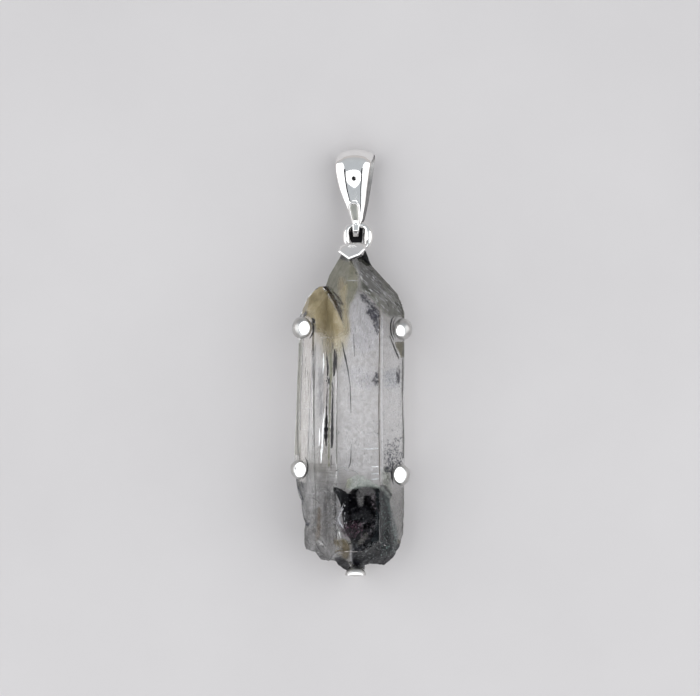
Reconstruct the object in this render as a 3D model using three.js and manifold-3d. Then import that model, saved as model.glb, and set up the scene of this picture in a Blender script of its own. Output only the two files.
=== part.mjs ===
// Raw quartz crystal pendant, lying on its back as it would on a table.
// A clear hexagonal prism with a smaller prism grown along its left side is held
// in an open silver setting: a flat loop of wire behind the crystal, five claws
// with balled ends, a pointed plate over the tip, a ring, and a tapered bail that
// swings on the ring.
//
// Millimetres. +Z is up, away from the surface that the pendant lies on. +Y runs
// from the broken base to the bail. +X is to the right of the front face.
// Outline points are written on a square grid of 0.12 mm: x to the right, y down
// from the bail to the base, z up from the surface.
import * as THREE from "three";
import { ConvexGeometry } from "three/addons/geometries/ConvexGeometry.js";
import { mergeVertices } from "three/addons/utils/BufferGeometryUtils.js";
import Module from "manifold-3d";

// ---------------------------------------------------------------- dimensions
const GRID = 0.12; // mm in one grid step
const MID_X = 351.12, // grid point of the origin, at the middle of the overall box
  MID_Y = 362.98;

const FIT_GAP = 0.5; // grid steps between soldered or touching pieces, 0.06 mm

// main crystal, a hexagonal prism lying on one of its faces
const MAIN_TOP = 78, // front face, 9.4 mm above the surface
  MAIN_BOTTOM = 3; // rear face, 0.36 mm clear of the surface
const MAIN_FRONT_X = [336, 379.5]; // edges of the front face
const MAIN_LEFT = [314.5, 40.8], // left and right prism edges (x, z)
  MAIN_RIGHT = [404.6, 34.5];
const BASE_Y = 571.7;

// side crystal, turned 12 degrees about its length and slightly out of parallel
const SIDE_EDGE_Z = 58.5,
  SIDE_FACE_Z = 73.9;

// back frame
const WIRE = 8; // width and height of the frame wire, 0.96 mm
const LEFT_RAIL_X = 328,
  RIGHT_RAIL_X = 394.6;

// claws: flattened wire, 0.6 by 1.1 mm
const CLAW_THICK = 5,
  CLAW_WIDTH = 9;

// cap plate over the tip
const STRAP_Y = [248, 253],
  STRAP_X = [347, 361.4];
const PLATE_TILT = 0.6; // rise of the plate per step along the crystal
const PLATE_THICK = 5;

// ring and bail
const RING = { x: 358.2, y: 236, z: 30, halfX: 10.4, halfY: 11.7 };
const RING_WIRE = { side: 4.7, end: 3.3 };
const BAIL_WALL = 4, // 0.48 mm sheet
  BAIL_JOIN_Y = 231.6; // its two leaves meet here, just below the ring wire

// ------------------------------------------------------------------- helpers
const wasm = await Module();
wasm.setup();

const at = (x, y, z) =>
  new THREE.Vector3((x - MID_X) * GRID, (MID_Y - y) * GRID, z * GRID);

function toSolid(geometry) {
  const bare = geometry.clone();
  bare.deleteAttribute("normal");
  bare.deleteAttribute("uv");
  const merged = mergeVertices(bare, 1e-4);
  return new wasm.Manifold(
    new wasm.Mesh({
      numProp: 3,
      vertProperties: merged.attributes.position.array,
      triVerts: new Uint32Array(merged.index.array),
    }),
  );
}

function toGeometry(solid) {
  const mesh = solid.getMesh();
  const position = new Float32Array(mesh.numVert * 3);
  for (let i = 0; i < mesh.numVert; i++)
    for (let k = 0; k < 3; k++)
      position[i * 3 + k] = mesh.vertProperties[i * mesh.numProp + k];
  const geometry = new THREE.BufferGeometry();
  geometry.setAttribute("position", new THREE.BufferAttribute(position, 3));
  geometry.setIndex(new THREE.BufferAttribute(new Uint32Array(mesh.triVerts), 1));
  geometry.computeVertexNormals();
  return geometry;
}

// A plane is { n, d }: points with n.p <= d are inside.
const facing = (nx, ny, nz, point) => {
  const n = new THREE.Vector3(nx, ny, nz).normalize();
  return { n, d: n.dot(point) };
};
const through = (a, b, c, inside) => {
  const n = b.clone().sub(a).cross(c.clone().sub(a)).normalize();
  if (n.dot(inside) > n.dot(a)) n.negate();
  return { n, d: n.dot(a) };
};
// A termination face: turn degrees round the crystal's length, lean degrees
// between its normal and the length.
const tipFace = (turn, lean, point) => {
  const t = THREE.MathUtils.degToRad(turn),
    l = THREE.MathUtils.degToRad(lean);
  return facing(
    Math.cos(t) * Math.sin(l),
    Math.cos(l),
    Math.sin(t) * Math.sin(l),
    point,
  );
};

// The closed convex body inside a set of planes.
function insideOf(planes) {
  const corners = [];
  for (let i = 0; i < planes.length; i++)
    for (let j = i + 1; j < planes.length; j++)
      for (let k = j + 1; k < planes.length; k++) {
        const [a, b, c] = [planes[i], planes[j], planes[k]];
        const bc = b.n.clone().cross(c.n),
          ca = c.n.clone().cross(a.n),
          ab = a.n.clone().cross(b.n);
        const det = a.n.dot(bc);
        if (Math.abs(det) < 1e-6) continue;
        const p = bc
          .multiplyScalar(a.d)
          .add(ca.multiplyScalar(b.d))
          .add(ab.multiplyScalar(c.d))
          .divideScalar(det);
        if (
          planes.every((q) => q.n.dot(p) <= q.d + 1e-6) &&
          corners.every((q) => q.distanceTo(p) > 1e-3)
        )
          corners.push(p);
      }
  return toSolid(new ConvexGeometry(corners));
}

const outline = (points) =>
  new THREE.Shape(points.map(([x, y]) => new THREE.Vector2(at(x, y, 0).x, at(x, y, 0).y)));

// An outline drawn from the front, from height z0 to z1.
function fromFront(points, z0, z1, options = {}) {
  const geometry = new THREE.ExtrudeGeometry(outline(points), {
    depth: (z1 - z0) * GRID,
    bevelEnabled: false,
    ...options,
  });
  return geometry.translate(0, 0, z0 * GRID);
}

// A profile drawn from the right side as (y, z) points, from x0 to x1.
function fromSide(points, x0, x1) {
  const shape = new THREE.Shape(
    points.map(([y, z]) => new THREE.Vector2((MID_Y - y) * GRID, z * GRID)),
  );
  const geometry = new THREE.ExtrudeGeometry(shape, {
    depth: (x1 - x0) * GRID,
    bevelEnabled: false,
  });
  geometry.applyMatrix4(
    new THREE.Matrix4().makeBasis(
      new THREE.Vector3(0, 1, 0),
      new THREE.Vector3(0, 0, 1),
      new THREE.Vector3(1, 0, 0),
    ),
  );
  return geometry.translate((x0 - MID_X) * GRID, 0, 0);
}

// Flattened wire along a smooth path through grid points [x, y, z].
function strip(points, thick, width, sides, steps) {
  const path = new THREE.CatmullRomCurve3(
    points.map((p) => at(...p)),
    false,
    "centripetal",
  );
  const section = new THREE.Shape();
  for (let i = 0; i < sides; i++) {
    const a = ((i + 0.5) / sides) * 2 * Math.PI;
    const x = Math.cos(a) * width * 0.5 * GRID,
      y = Math.sin(a) * thick * 0.5 * GRID;
    if (i) section.lineTo(x, y);
    else section.moveTo(x, y);
  }
  return new THREE.ExtrudeGeometry(section, { steps, extrudePath: path });
}

function ball(x, y, z, rx, ry, rz, turnY = 0) {
  const geometry = new THREE.SphereGeometry(1, 18, 12);
  geometry.rotateX(Math.PI / 2);
  geometry.scale(rx * GRID, ry * GRID, rz * GRID);
  geometry.rotateY(THREE.MathUtils.degToRad(turnY));
  const c = at(x, y, z);
  return geometry.translate(c.x, c.y, c.z);
}

// A closed tube: section(i) gives the points of its section at each station.
function closedSweep(stations, section) {
  const position = [],
    index = [];
  let sides = 0;
  for (let i = 0; i < stations; i++) {
    const points = section(i);
    sides = points.length;
    for (const p of points) position.push(...p);
  }
  for (let i = 0; i < stations; i++)
    for (let j = 0; j < sides; j++) {
      const i2 = (i + 1) % stations,
        j2 = (j + 1) % sides;
      index.push(i * sides + j, i * sides + j2, i2 * sides + j2);
      index.push(i * sides + j, i2 * sides + j2, i2 * sides + j);
    }
  const geometry = new THREE.BufferGeometry();
  geometry.setAttribute("position", new THREE.Float32BufferAttribute(position, 3));
  geometry.setIndex(index);
  return geometry;
}

// ------------------------------------------------------------------- crystal
const [frontLeft, frontRight] = MAIN_FRONT_X;
const mainCrystal = insideOf([
  facing(0, 0, 1, at(0, 0, MAIN_TOP)),
  facing(0, 0, -1, at(0, 0, MAIN_BOTTOM)),
  facing(0.866, 0, 0.5, at(frontRight, 0, MAIN_TOP)),
  facing(0.866, 0, -0.5, at(MAIN_RIGHT[0], 0, MAIN_RIGHT[1])),
  facing(-0.866, 0, 0.5, at(frontLeft, 0, MAIN_TOP)),
  facing(-0.866, 0, -0.5, at(MAIN_LEFT[0], 0, MAIN_LEFT[1])),
  // six faces of the tip, one over each prism face, of unequal size
  tipFace(90, 51.8, at(352, 280.7, MAIN_TOP)),
  tipFace(30, 51.8, at(360.6, 280.7, MAIN_TOP)),
  tipFace(-30, 51.8, at(383.3, 278.2, MAIN_RIGHT[1])),
  tipFace(150, 63.1, at(339.4, 258.1, 40.5)),
  tipFace(210, 63.1, at(339.4, 258.1, 40.5)),
  tipFace(-90, 51.8, at(352, 292, MAIN_BOTTOM)),
  // steep corners of the tip
  facing(0.938, 0.348, 0.02, at(400.6, 302, 36)),
  facing(-0.949, 0.314, 0, at(327.3, 281.4, 40.5)),
  // worn base
  facing(0, -0.8, 0.6, at(0, 549.5, MAIN_TOP)),
  facing(0, -0.66, -0.75, at(0, 541, MAIN_BOTTOM)),
  facing(0.42, -0.7, 0.57, at(384, 546, 66)),
  facing(0, -1, 0, at(0, BASE_Y, 0)),
]);

const edgeTop = at(299.3, 340, SIDE_EDGE_Z),
  edgeLow = at(294.8, 451, SIDE_EDGE_Z);
const faceTop = at(304.6, 340, SIDE_FACE_Z),
  faceLow = at(300.4, 451, SIDE_FACE_Z),
  ridge = at(314.5, 395, 76.2);
const sideMiddle = at(314, 400, 60);
const sideCrystal = insideOf([
  through(faceTop, faceLow, ridge, sideMiddle),
  facing(0.743, 0, 0.669, ridge),
  facing(0.951, 0, -0.309, at(338, 0, 52)),
  facing(0.208, 0, -0.978, at(316, 0, 41)),
  through(edgeTop, edgeLow, at(316, 340, 39.6), sideMiddle),
  through(edgeTop, edgeLow, faceTop, sideMiddle),
  // its own tip
  tipFace(102, 51.8, at(309, 311, 75)),
  tipFace(42, 51.8, at(325.6, 288.5, 62)),
  tipFace(162, 48, at(314, 291.4, SIDE_EDGE_Z)),
  tipFace(222, 48, at(314, 291.4, SIDE_EDGE_Z)),
  tipFace(162, 70, at(305.3, 304.3, SIDE_EDGE_Z)),
  tipFace(222, 70, at(305.3, 304.3, SIDE_EDGE_Z)),
  facing(0, 1, 0, at(0, 286.8, 0)),
  // broken base
  facing(-0.35, -0.62, 0.7, at(306, 528, 70)),
  facing(0, -0.75, -0.66, at(312, 540, 38)),
  facing(0, -1, 0, at(0, 562, 0)),
]);

// The base as broken off, seen from the front.
const BASE_OUTLINE = [
  [270, 230], [430, 230], [430, 452], [405.6, 461.7], [404.2, 486.7],
  [404.6, 513], [404.1, 534.4], [402.7, 540.1], [401.2, 546.8],
  [397.4, 551.1], [393.6, 559.2], [390.2, 562.1], [384, 566.7],
  [379.7, 565.7], [374.4, 564], [368.7, 563.5], [366.3, 565.5],
  [365.8, 570.2], [364, 571.7], [346.4, 571.7], [339.8, 566.5],
  [334.8, 561.1], [332.3, 559.8], [328.2, 560.5], [323.2, 560.5],
  [319.9, 559.4], [316.6, 556.5], [314.1, 552.8], [310.4, 552],
  [307.9, 553.2], [305.8, 551.5], [303.7, 545.7], [303.4, 540],
  [303.8, 528], [305.2, 521.8], [303.8, 516.9], [302.3, 510.2],
  [301.8, 498.6], [298.9, 492.3], [297.1, 483.4], [296.3, 474.5],
  [294.4, 452], [270, 445],
];
// The tip is chipped square where the strap of the plate passes it.
const tipChip = fromFront(
  [[320, 220], [STRAP_X[1] + 0.9, 220], [STRAP_X[1] + 0.9, STRAP_Y[1] + 0.8], [320, STRAP_Y[1] + 0.8]],
  -5,
  90,
);
const crystal = mainCrystal
  .add(sideCrystal)
  .intersect(toSolid(fromFront(BASE_OUTLINE, -5, 95)))
  .subtract(toSolid(tipChip));

// ---------------------------------------------------------------- back frame
// A flat closed loop of wire that follows the crystal a little inside its edge.
const LOOP = [
  [353.5, 250.5], [359.5, 257], [366, 266.5], [374.8, 276.3], [384, 285.6],
  [391.6, 296.6], [394.2, 309], [RIGHT_RAIL_X, 322], [RIGHT_RAIL_X, 400],
  [RIGHT_RAIL_X, 480], [RIGHT_RAIL_X, 536], [393.8, 545.2], [389.4, 553.2],
  [381, 558.2], [371.5, 560.2], [365.2, 565.2], [361, 571], [355.5, 573.6],
  [350, 571.2], [344.5, 565], [337.4, 557.6], [331, 549.8], [328.4, 539],
  [LEFT_RAIL_X, 526], [LEFT_RAIL_X, 480], [LEFT_RAIL_X, 400],
  [LEFT_RAIL_X, 322], [328.2, 308], [330.9, 293.5], [336, 279],
  [341.5, 266], [347.5, 256],
];
const loopCurve = new THREE.CatmullRomCurve3(
  LOOP.map(([x, y]) => at(x, y, 0)),
  true,
  "centripetal",
);
const LOOP_STEPS = 76;
const half = WIRE / 2,
  chamfer = 1.4;
const WIRE_SECTION = [
  [-half + 0.6, 0], [half - 0.6, 0], [half, 0.6], [half, WIRE - chamfer],
  [half - chamfer, WIRE], [-half + chamfer, WIRE], [-half, WIRE - chamfer],
  [-half, 0.6],
];
const backFrame = closedSweep(LOOP_STEPS, (i) => {
  const p = loopCurve.getPointAt(i / LOOP_STEPS),
    t = loopCurve.getTangentAt(i / LOOP_STEPS);
  return WIRE_SECTION.map(([u, z]) => [
    p.x - t.y * u * GRID,
    p.y + t.x * u * GRID,
    z * GRID,
  ]);
});

// --------------------------------------------------------------------- claws
// Each rises from the frame, bends round the crystal's widest edge and ends in
// a ball that bears on the face inside that edge.
function rightClaw(y, tip, edgeX) {
  const foot = WIRE + FIT_GAP;
  return toSolid(
    strip(
      [
        [RIGHT_RAIL_X + 0.6, y, foot],
        [RIGHT_RAIL_X + 0.8, y, foot + 2.6],
        [400.6, y, 20.5],
        [edgeX + 0.9, y, 29.2],
        [edgeX + 3.4, y, 35],
        [edgeX + 2.5, y, 43],
        [tip.x, y, tip.z],
      ],
      CLAW_THICK,
      CLAW_WIDTH,
      10,
      12,
    ),
  ).add(toSolid(ball(tip.x, tip.y, tip.z, tip.rx, tip.ry, tip.rz)));
}
function leftClaw(y, tip, edgeX, heel) {
  const foot = WIRE + FIT_GAP;
  return toSolid(
    strip(
      [
        [LEFT_RAIL_X - 0.4, y, foot],
        [LEFT_RAIL_X - 0.7, y, foot + 2.6],
        [320.2, y, 24],
        [edgeX + heel, y, 37.2],
        [edgeX + 3.2, y, 49.2],
        [edgeX - 3.2, y, 58],
        [edgeX - 1.3, y, 67],
        [tip.x, y, tip.z],
      ],
      CLAW_THICK,
      CLAW_WIDTH,
      10,
      13,
    ),
  ).add(toSolid(ball(tip.x, tip.y, tip.z, tip.rx, tip.ry, tip.rz)));
}
const clawUpperRight = rightClaw(
  329.3,
  { x: 402.7, y: 329.3, z: 57.6, rx: 9.25, ry: 10.6, rz: 9 },
  404.6,
);
const clawLowerRight = rightClaw(
  474,
  { x: 401.2, y: 474, z: 58.8, rx: 8.4, ry: 10.4, rz: 8.2 },
  404.9,
);
const clawUpperLeft = leftClaw(
  328.2,
  { x: 302.6, y: 328.2, z: 82.4, rx: 9.7, ry: 11, rz: 7.6 },
  299.5,
  12.2,
);
const clawLowerLeft = leftClaw(
  467.2,
  { x: 299.4, y: 467.2, z: 82, rx: 7.7, ry: 9.6, rz: 7 },
  295.2,
  10.6,
);
// The claw at the base is wider at its end and bears on the worn front edge.
const clawBottom = toSolid(
  strip(
    [
      [355.5, 575.2, WIRE + FIT_GAP],
      [355.5, 575.3, 24],
      [355.5, 575.3, 42],
      [355.5, 574.6, 51],
      [355.5, 573.2, 56.5],
    ],
    CLAW_THICK,
    11,
    10,
    8,
  ),
).add(toSolid(ball(355.5, 572.6, 57.6, 9.8, 5.2, 6)));

// ------------------------------------------------------------------ tip plate
// A strap stands on the frame behind the tip and turns over it into a plate
// with a pointed, bevelled lower edge.
const PLATE = [
  [337.9, 252.4], [340.4, 246.6], [346, 243.9], [353, 243.4], [361, 243.4],
  [365.6, 244.6], [365.3, 250], [359.6, 255.9], [348.6, 260.2],
];
const PLATE_LOW = { y: 260.2, z: 63 }; // underside at the point
const plateZ = (y) => PLATE_LOW.z - PLATE_TILT * (PLATE_LOW.y - y);
const strapTop = plateZ(STRAP_Y[0]);
const strap = toSolid(
  fromSide(
    [
      [STRAP_Y[0], WIRE + FIT_GAP],
      [STRAP_Y[1], WIRE + FIT_GAP],
      [STRAP_Y[1], plateZ(STRAP_Y[1]) + 1],
      [STRAP_Y[1] + 1, plateZ(STRAP_Y[1] + 1) + 3],
      [STRAP_Y[0], strapTop + 4],
    ],
    STRAP_X[0],
    STRAP_X[1],
  ),
);
const plateGeometry = new THREE.ExtrudeGeometry(outline(PLATE), {
  depth: (PLATE_THICK - 1.6) * GRID,
  bevelEnabled: true,
  bevelThickness: 1.6 * GRID,
  bevelSize: 1.6 * GRID,
  bevelOffset: -1.6 * GRID,
  bevelSegments: 1,
});
// The bevel on the underside is filled again by a second, plain slab below it.
const plateSlab = new THREE.ExtrudeGeometry(outline(PLATE), {
  depth: 2.2 * GRID,
  bevelEnabled: false,
});
const tilt = new THREE.Matrix4().set(
  1, 0, 0, 0,
  0, 1, 0, 0,
  0, -PLATE_TILT, 1, (plateZ(MID_Y)) * GRID,
  0, 0, 0, 1,
);
const plate = toSolid(plateGeometry.applyMatrix4(tilt)).add(
  toSolid(plateSlab.applyMatrix4(tilt)),
);

// ---------------------------------------------------------------------- ring
// Thick wire bent to a small oval eye, thicker at its sides, flattened below
// where it is soldered to the strap.
const ringWire = closedSweep(32, (i) => {
  const a = (-i / 32) * 2 * Math.PI;
  const c = Math.cos(a),
    s = Math.sin(a);
  const r = (RING_WIRE.end + (RING_WIRE.side - RING_WIRE.end) * c ** 4) * GRID;
  // squarer than an ellipse, so the eye stays wide to its ends
  const square = (v) => Math.sign(v) * Math.abs(v) ** 0.74;
  const out = new THREE.Vector2(
    Math.sign(c) * Math.abs(c) ** 1.26 / RING.halfX,
    Math.sign(s) * Math.abs(s) ** 1.26 / RING.halfY,
  ).normalize();
  const o = at(RING.x, RING.y, RING.z);
  const section = [];
  for (let j = 0; j < 10; j++) {
    const b = (j / 10) * 2 * Math.PI;
    section.push([
      o.x + square(c) * RING.halfX * GRID + out.x * Math.cos(b) * r,
      o.y + square(s) * RING.halfY * GRID + out.y * Math.cos(b) * r,
      o.z + Math.sin(b) * r,
    ]);
  }
  return section;
});
const belowStrap = toSolid(
  fromFront(
    [[330, STRAP_Y[0] - FIT_GAP], [390, STRAP_Y[0] - FIT_GAP], [390, 270], [330, 270]],
    10,
    50,
  ),
);
const ring = toSolid(ringWire).subtract(belowStrap);

// ---------------------------------------------------------------------- bail
// A band of sheet folded into a loop, wide at the top and tapering to the ring.
const BAIL_OUTER = [
  [238, 30.2], [237, 33.4], [232.4, 36.6], [224.5, 38.9], [216, 40.3],
  [206, 41.4], [194, 42.3], [182, 42.7], [172, 42.3], [164, 40.8],
  [157.4, 37.6], [152.3, 33], [149.2, 27.4], [148, 21.4], [149, 15.2],
  [152, 9.4], [157, 4.6], [164, 1.5], [172, 0.6], [181, 1.9], [192, 5.7],
  [204, 11], [214, 15.8], [224.5, 21], [232.4, 23.6], [237, 27],
];
const bailLoop = new THREE.CatmullRomCurve3(
  BAIL_OUTER.map(([y, z]) => new THREE.Vector3(y, z, 0)),
  true,
  "centripetal",
);
const BAIL_STEPS = 56;
const bailOutside = [],
  bailInside = [];
for (let i = 0; i < BAIL_STEPS; i++) {
  const p = bailLoop.getPointAt(i / BAIL_STEPS),
    t = bailLoop.getTangentAt(i / BAIL_STEPS);
  bailOutside.push([p.x, p.y]);
  // the leaves are joined below the ring wire
  const q = [p.x - t.y * BAIL_WALL, p.y + t.x * BAIL_WALL];
  if (q[0] < BAIL_JOIN_Y) bailInside.push(q);
}
const BAIL_FRONT = [
  [337.6, 147], [374.2, 147], [374.2, 153], [372.6, 163], [371.4, 171],
  [369.8, 183], [368.8, 190], [367.7, 200], [366.7, 207], [365.2, 219],
  [363.4, 222.4], [361.8, 224.5], [360.9, 227], [360.3, 232], [359.4, 239],
  [354.8, 239], [355, 232], [354.9, 227], [354.3, 224.5], [353.2, 222],
  [352.3, 219], [348.4, 207], [345.4, 200], [341.6, 190], [339.8, 183],
  [337.5, 171], [337.3, 163], [337.4, 154],
];
const ROLL = 0.1; // the bail is turned a little about its length
const rolled = new THREE.Matrix4().set(
  1, 0, -ROLL, ROLL * 21 * GRID,
  0, 1, 0, 0,
  0, 0, 1, 0,
  0, 0, 0, 1,
);
const bail = toSolid(fromSide(bailOutside, 320, 390))
  .subtract(toSolid(fromSide(bailInside, 319, 391)))
  .intersect(toSolid(fromFront(BAIL_FRONT, -5, 60).applyMatrix4(rolled)));

// ------------------------------------------------------------------ materials
const quartz = () =>
  new THREE.MeshStandardMaterial({
    color: 0xc9c6c6,
    roughness: 0.05,
    metalness: 0,
    transparent: true,
    opacity: 0.45,
  });
const silver = (color = 0xe4e3e1, roughness = 0.12) =>
  new THREE.MeshStandardMaterial({ color, roughness, metalness: 1 });

// ------------------------------------------------------------------- assembly
const pendant = new THREE.Group();
pendant.name = "quartz_crystal_pendant";
const setting = new THREE.Group();
pendant.add(setting);
const swinging = new THREE.Group();
pendant.add(swinging);

function piece(parent, name, geometry, material) {
  const mesh = new THREE.Mesh(geometry, material);
  mesh.name = name;
  parent.add(mesh);
}
piece(setting, "quartz_crystal", toGeometry(crystal), quartz());
piece(setting, "back_frame", toGeometry(toSolid(backFrame)), silver(0xdcdbd8, 0.2));
piece(setting, "claw_upper_left", toGeometry(clawUpperLeft), silver());
piece(setting, "claw_upper_right", toGeometry(clawUpperRight), silver());
piece(setting, "claw_lower_left", toGeometry(clawLowerLeft), silver());
piece(setting, "claw_lower_right", toGeometry(clawLowerRight), silver());
piece(setting, "claw_bottom", toGeometry(clawBottom), silver());
piece(setting, "tip_plate", toGeometry(strap.add(plate)), silver());
piece(setting, "ring", toGeometry(ring), silver());
piece(swinging, "bail", toGeometry(bail), silver(0xe8e7e5, 0.08));

export default pendant;
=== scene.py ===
import math
import random

import bmesh
import bpy
import numpy as np
from mathutils import Matrix, Vector, noise


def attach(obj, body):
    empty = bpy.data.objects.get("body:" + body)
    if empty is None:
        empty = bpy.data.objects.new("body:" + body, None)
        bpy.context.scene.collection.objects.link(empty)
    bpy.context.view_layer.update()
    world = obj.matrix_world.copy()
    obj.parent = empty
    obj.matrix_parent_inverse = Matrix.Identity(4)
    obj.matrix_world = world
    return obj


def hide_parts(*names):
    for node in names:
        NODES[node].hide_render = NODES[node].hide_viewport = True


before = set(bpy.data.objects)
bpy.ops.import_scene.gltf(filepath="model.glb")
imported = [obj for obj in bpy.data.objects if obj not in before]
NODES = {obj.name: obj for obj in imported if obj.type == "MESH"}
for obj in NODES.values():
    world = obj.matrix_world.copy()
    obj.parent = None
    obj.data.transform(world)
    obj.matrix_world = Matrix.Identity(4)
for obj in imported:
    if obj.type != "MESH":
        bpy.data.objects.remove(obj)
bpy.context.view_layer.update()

random.seed(11)
scene = bpy.context.scene

# Points are written on the grid that the CAD model is drawn on: 0.12 mm steps,
# x to the right, y down from the bail to the base, z up from the surface.
GRID = 0.00012
MID_X, MID_Y = 351.12, 362.98
LENS, SENSOR = 120.0, 36.0
LEVEL = 0.005 / GRID  # height at which one grid step is one picture step
EYE = 700 * LENS / SENSOR  # camera height above that level, in grid steps
EYE_X, EYE_Y = 350.0, 348.0
IOR = 1.544
MAIN_TOP = 78.0


def at(x, y, z):
    """Grid point to metres."""
    return Vector(((x - MID_X) * GRID, (MID_Y - y) * GRID, z * GRID))


def seen(x, y, z, inside=False):
    """The grid point at height z that lies on the line of sight through (x, y)."""
    apparent = MAIN_TOP - (MAIN_TOP - z) / IOR if inside else z
    k = (EYE - (apparent - LEVEL)) / EYE
    return (EYE_X + (x - EYE_X) * k, EYE_Y + (y - EYE_Y) * k, z)


def within(x, y, z):
    return at(*seen(x, y, z, True))


# ------------------------------------------------------------------- geometry
def add_mesh(name, verts, faces, material, body="setting", smooth=True, sharp=None):
    mesh = bpy.data.meshes.new(name)
    mesh.from_pydata([tuple(v) for v in verts], [], faces)
    mesh.validate()
    obj = bpy.data.objects.new(name, mesh)
    scene.collection.objects.link(obj)
    if material is not None:
        mesh.materials.append(material)
    if smooth:
        mesh.polygons.foreach_set("use_smooth", [True] * len(mesh.polygons))
        if sharp is not None:
            mesh.set_sharp_from_angle(angle=math.radians(sharp))
    mesh.update()
    if body:
        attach(obj, body)
    return obj


def catmull(points, per, closed=False):
    """Centripetal Catmull-Rom through points, per steps in each span."""
    pts = [np.array(p, float) for p in points]
    n = len(pts)
    out = []
    spans = n if closed else n - 1
    for i in range(spans):
        if closed:
            p0, p1, p2, p3 = (pts[(i + k - 1) % n] for k in range(4))
        else:
            p1, p2 = pts[i], pts[i + 1]
            p0 = pts[i - 1] if i else 2 * p1 - p2
            p3 = pts[i + 2] if i + 2 < n else 2 * p2 - p1
        t0 = 0.0
        t1 = t0 + max(np.linalg.norm(p1 - p0), 1e-9) ** 0.5
        t2 = t1 + max(np.linalg.norm(p2 - p1), 1e-9) ** 0.5
        t3 = t2 + max(np.linalg.norm(p3 - p2), 1e-9) ** 0.5
        for k in range(per):
            t = t1 + (t2 - t1) * k / per
            a1 = (t1 - t) / (t1 - t0) * p0 + (t - t0) / (t1 - t0) * p1
            a2 = (t2 - t) / (t2 - t1) * p1 + (t - t1) / (t2 - t1) * p2
            a3 = (t3 - t) / (t3 - t2) * p2 + (t - t2) / (t3 - t2) * p3
            b1 = (t2 - t) / (t2 - t0) * a1 + (t - t0) / (t2 - t0) * a2
            b2 = (t3 - t) / (t3 - t1) * a2 + (t - t1) / (t3 - t1) * a3
            out.append((t2 - t) / (t2 - t1) * b1 + (t - t1) / (t2 - t1) * b2)
    if not closed:
        out.append(pts[-1])
    return out


def even(points, count, closed=False):
    """count points spaced evenly along a polyline."""
    pts = np.array(points, float)
    if closed:
        pts = np.vstack([pts, pts[:1]])
    step = np.linalg.norm(np.diff(pts, axis=0), axis=1)
    run = np.concatenate([[0], np.cumsum(step)])
    want = np.linspace(0, run[-1], count + 1 if closed else count)
    if closed:
        want = want[:-1]
    return np.stack([np.interp(want, run, pts[:, k]) for k in range(pts.shape[1])], 1)


def rows_to_faces(rows, sides, closed_rows=False, closed_sides=True, start=0):
    faces = []
    for i in range(rows if closed_rows else rows - 1):
        for j in range(sides if closed_sides else sides - 1):
            a, b = i, (i + 1) % rows
            c, d = j, (j + 1) % sides
            faces.append(
                (
                    start + a * sides + c,
                    start + a * sides + d,
                    start + b * sides + d,
                    start + b * sides + c,
                )
            )
    return faces


def outward(obj):
    bm = bmesh.new()
    bm.from_mesh(obj.data)
    bmesh.ops.recalc_face_normals(bm, faces=bm.faces)
    bm.to_mesh(obj.data)
    bm.free()
    return obj


def smoothstep(a, b, x):
    t = min(1.0, max(0.0, (x - a) / (b - a)))
    return t * t * (3 - 2 * t)


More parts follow.
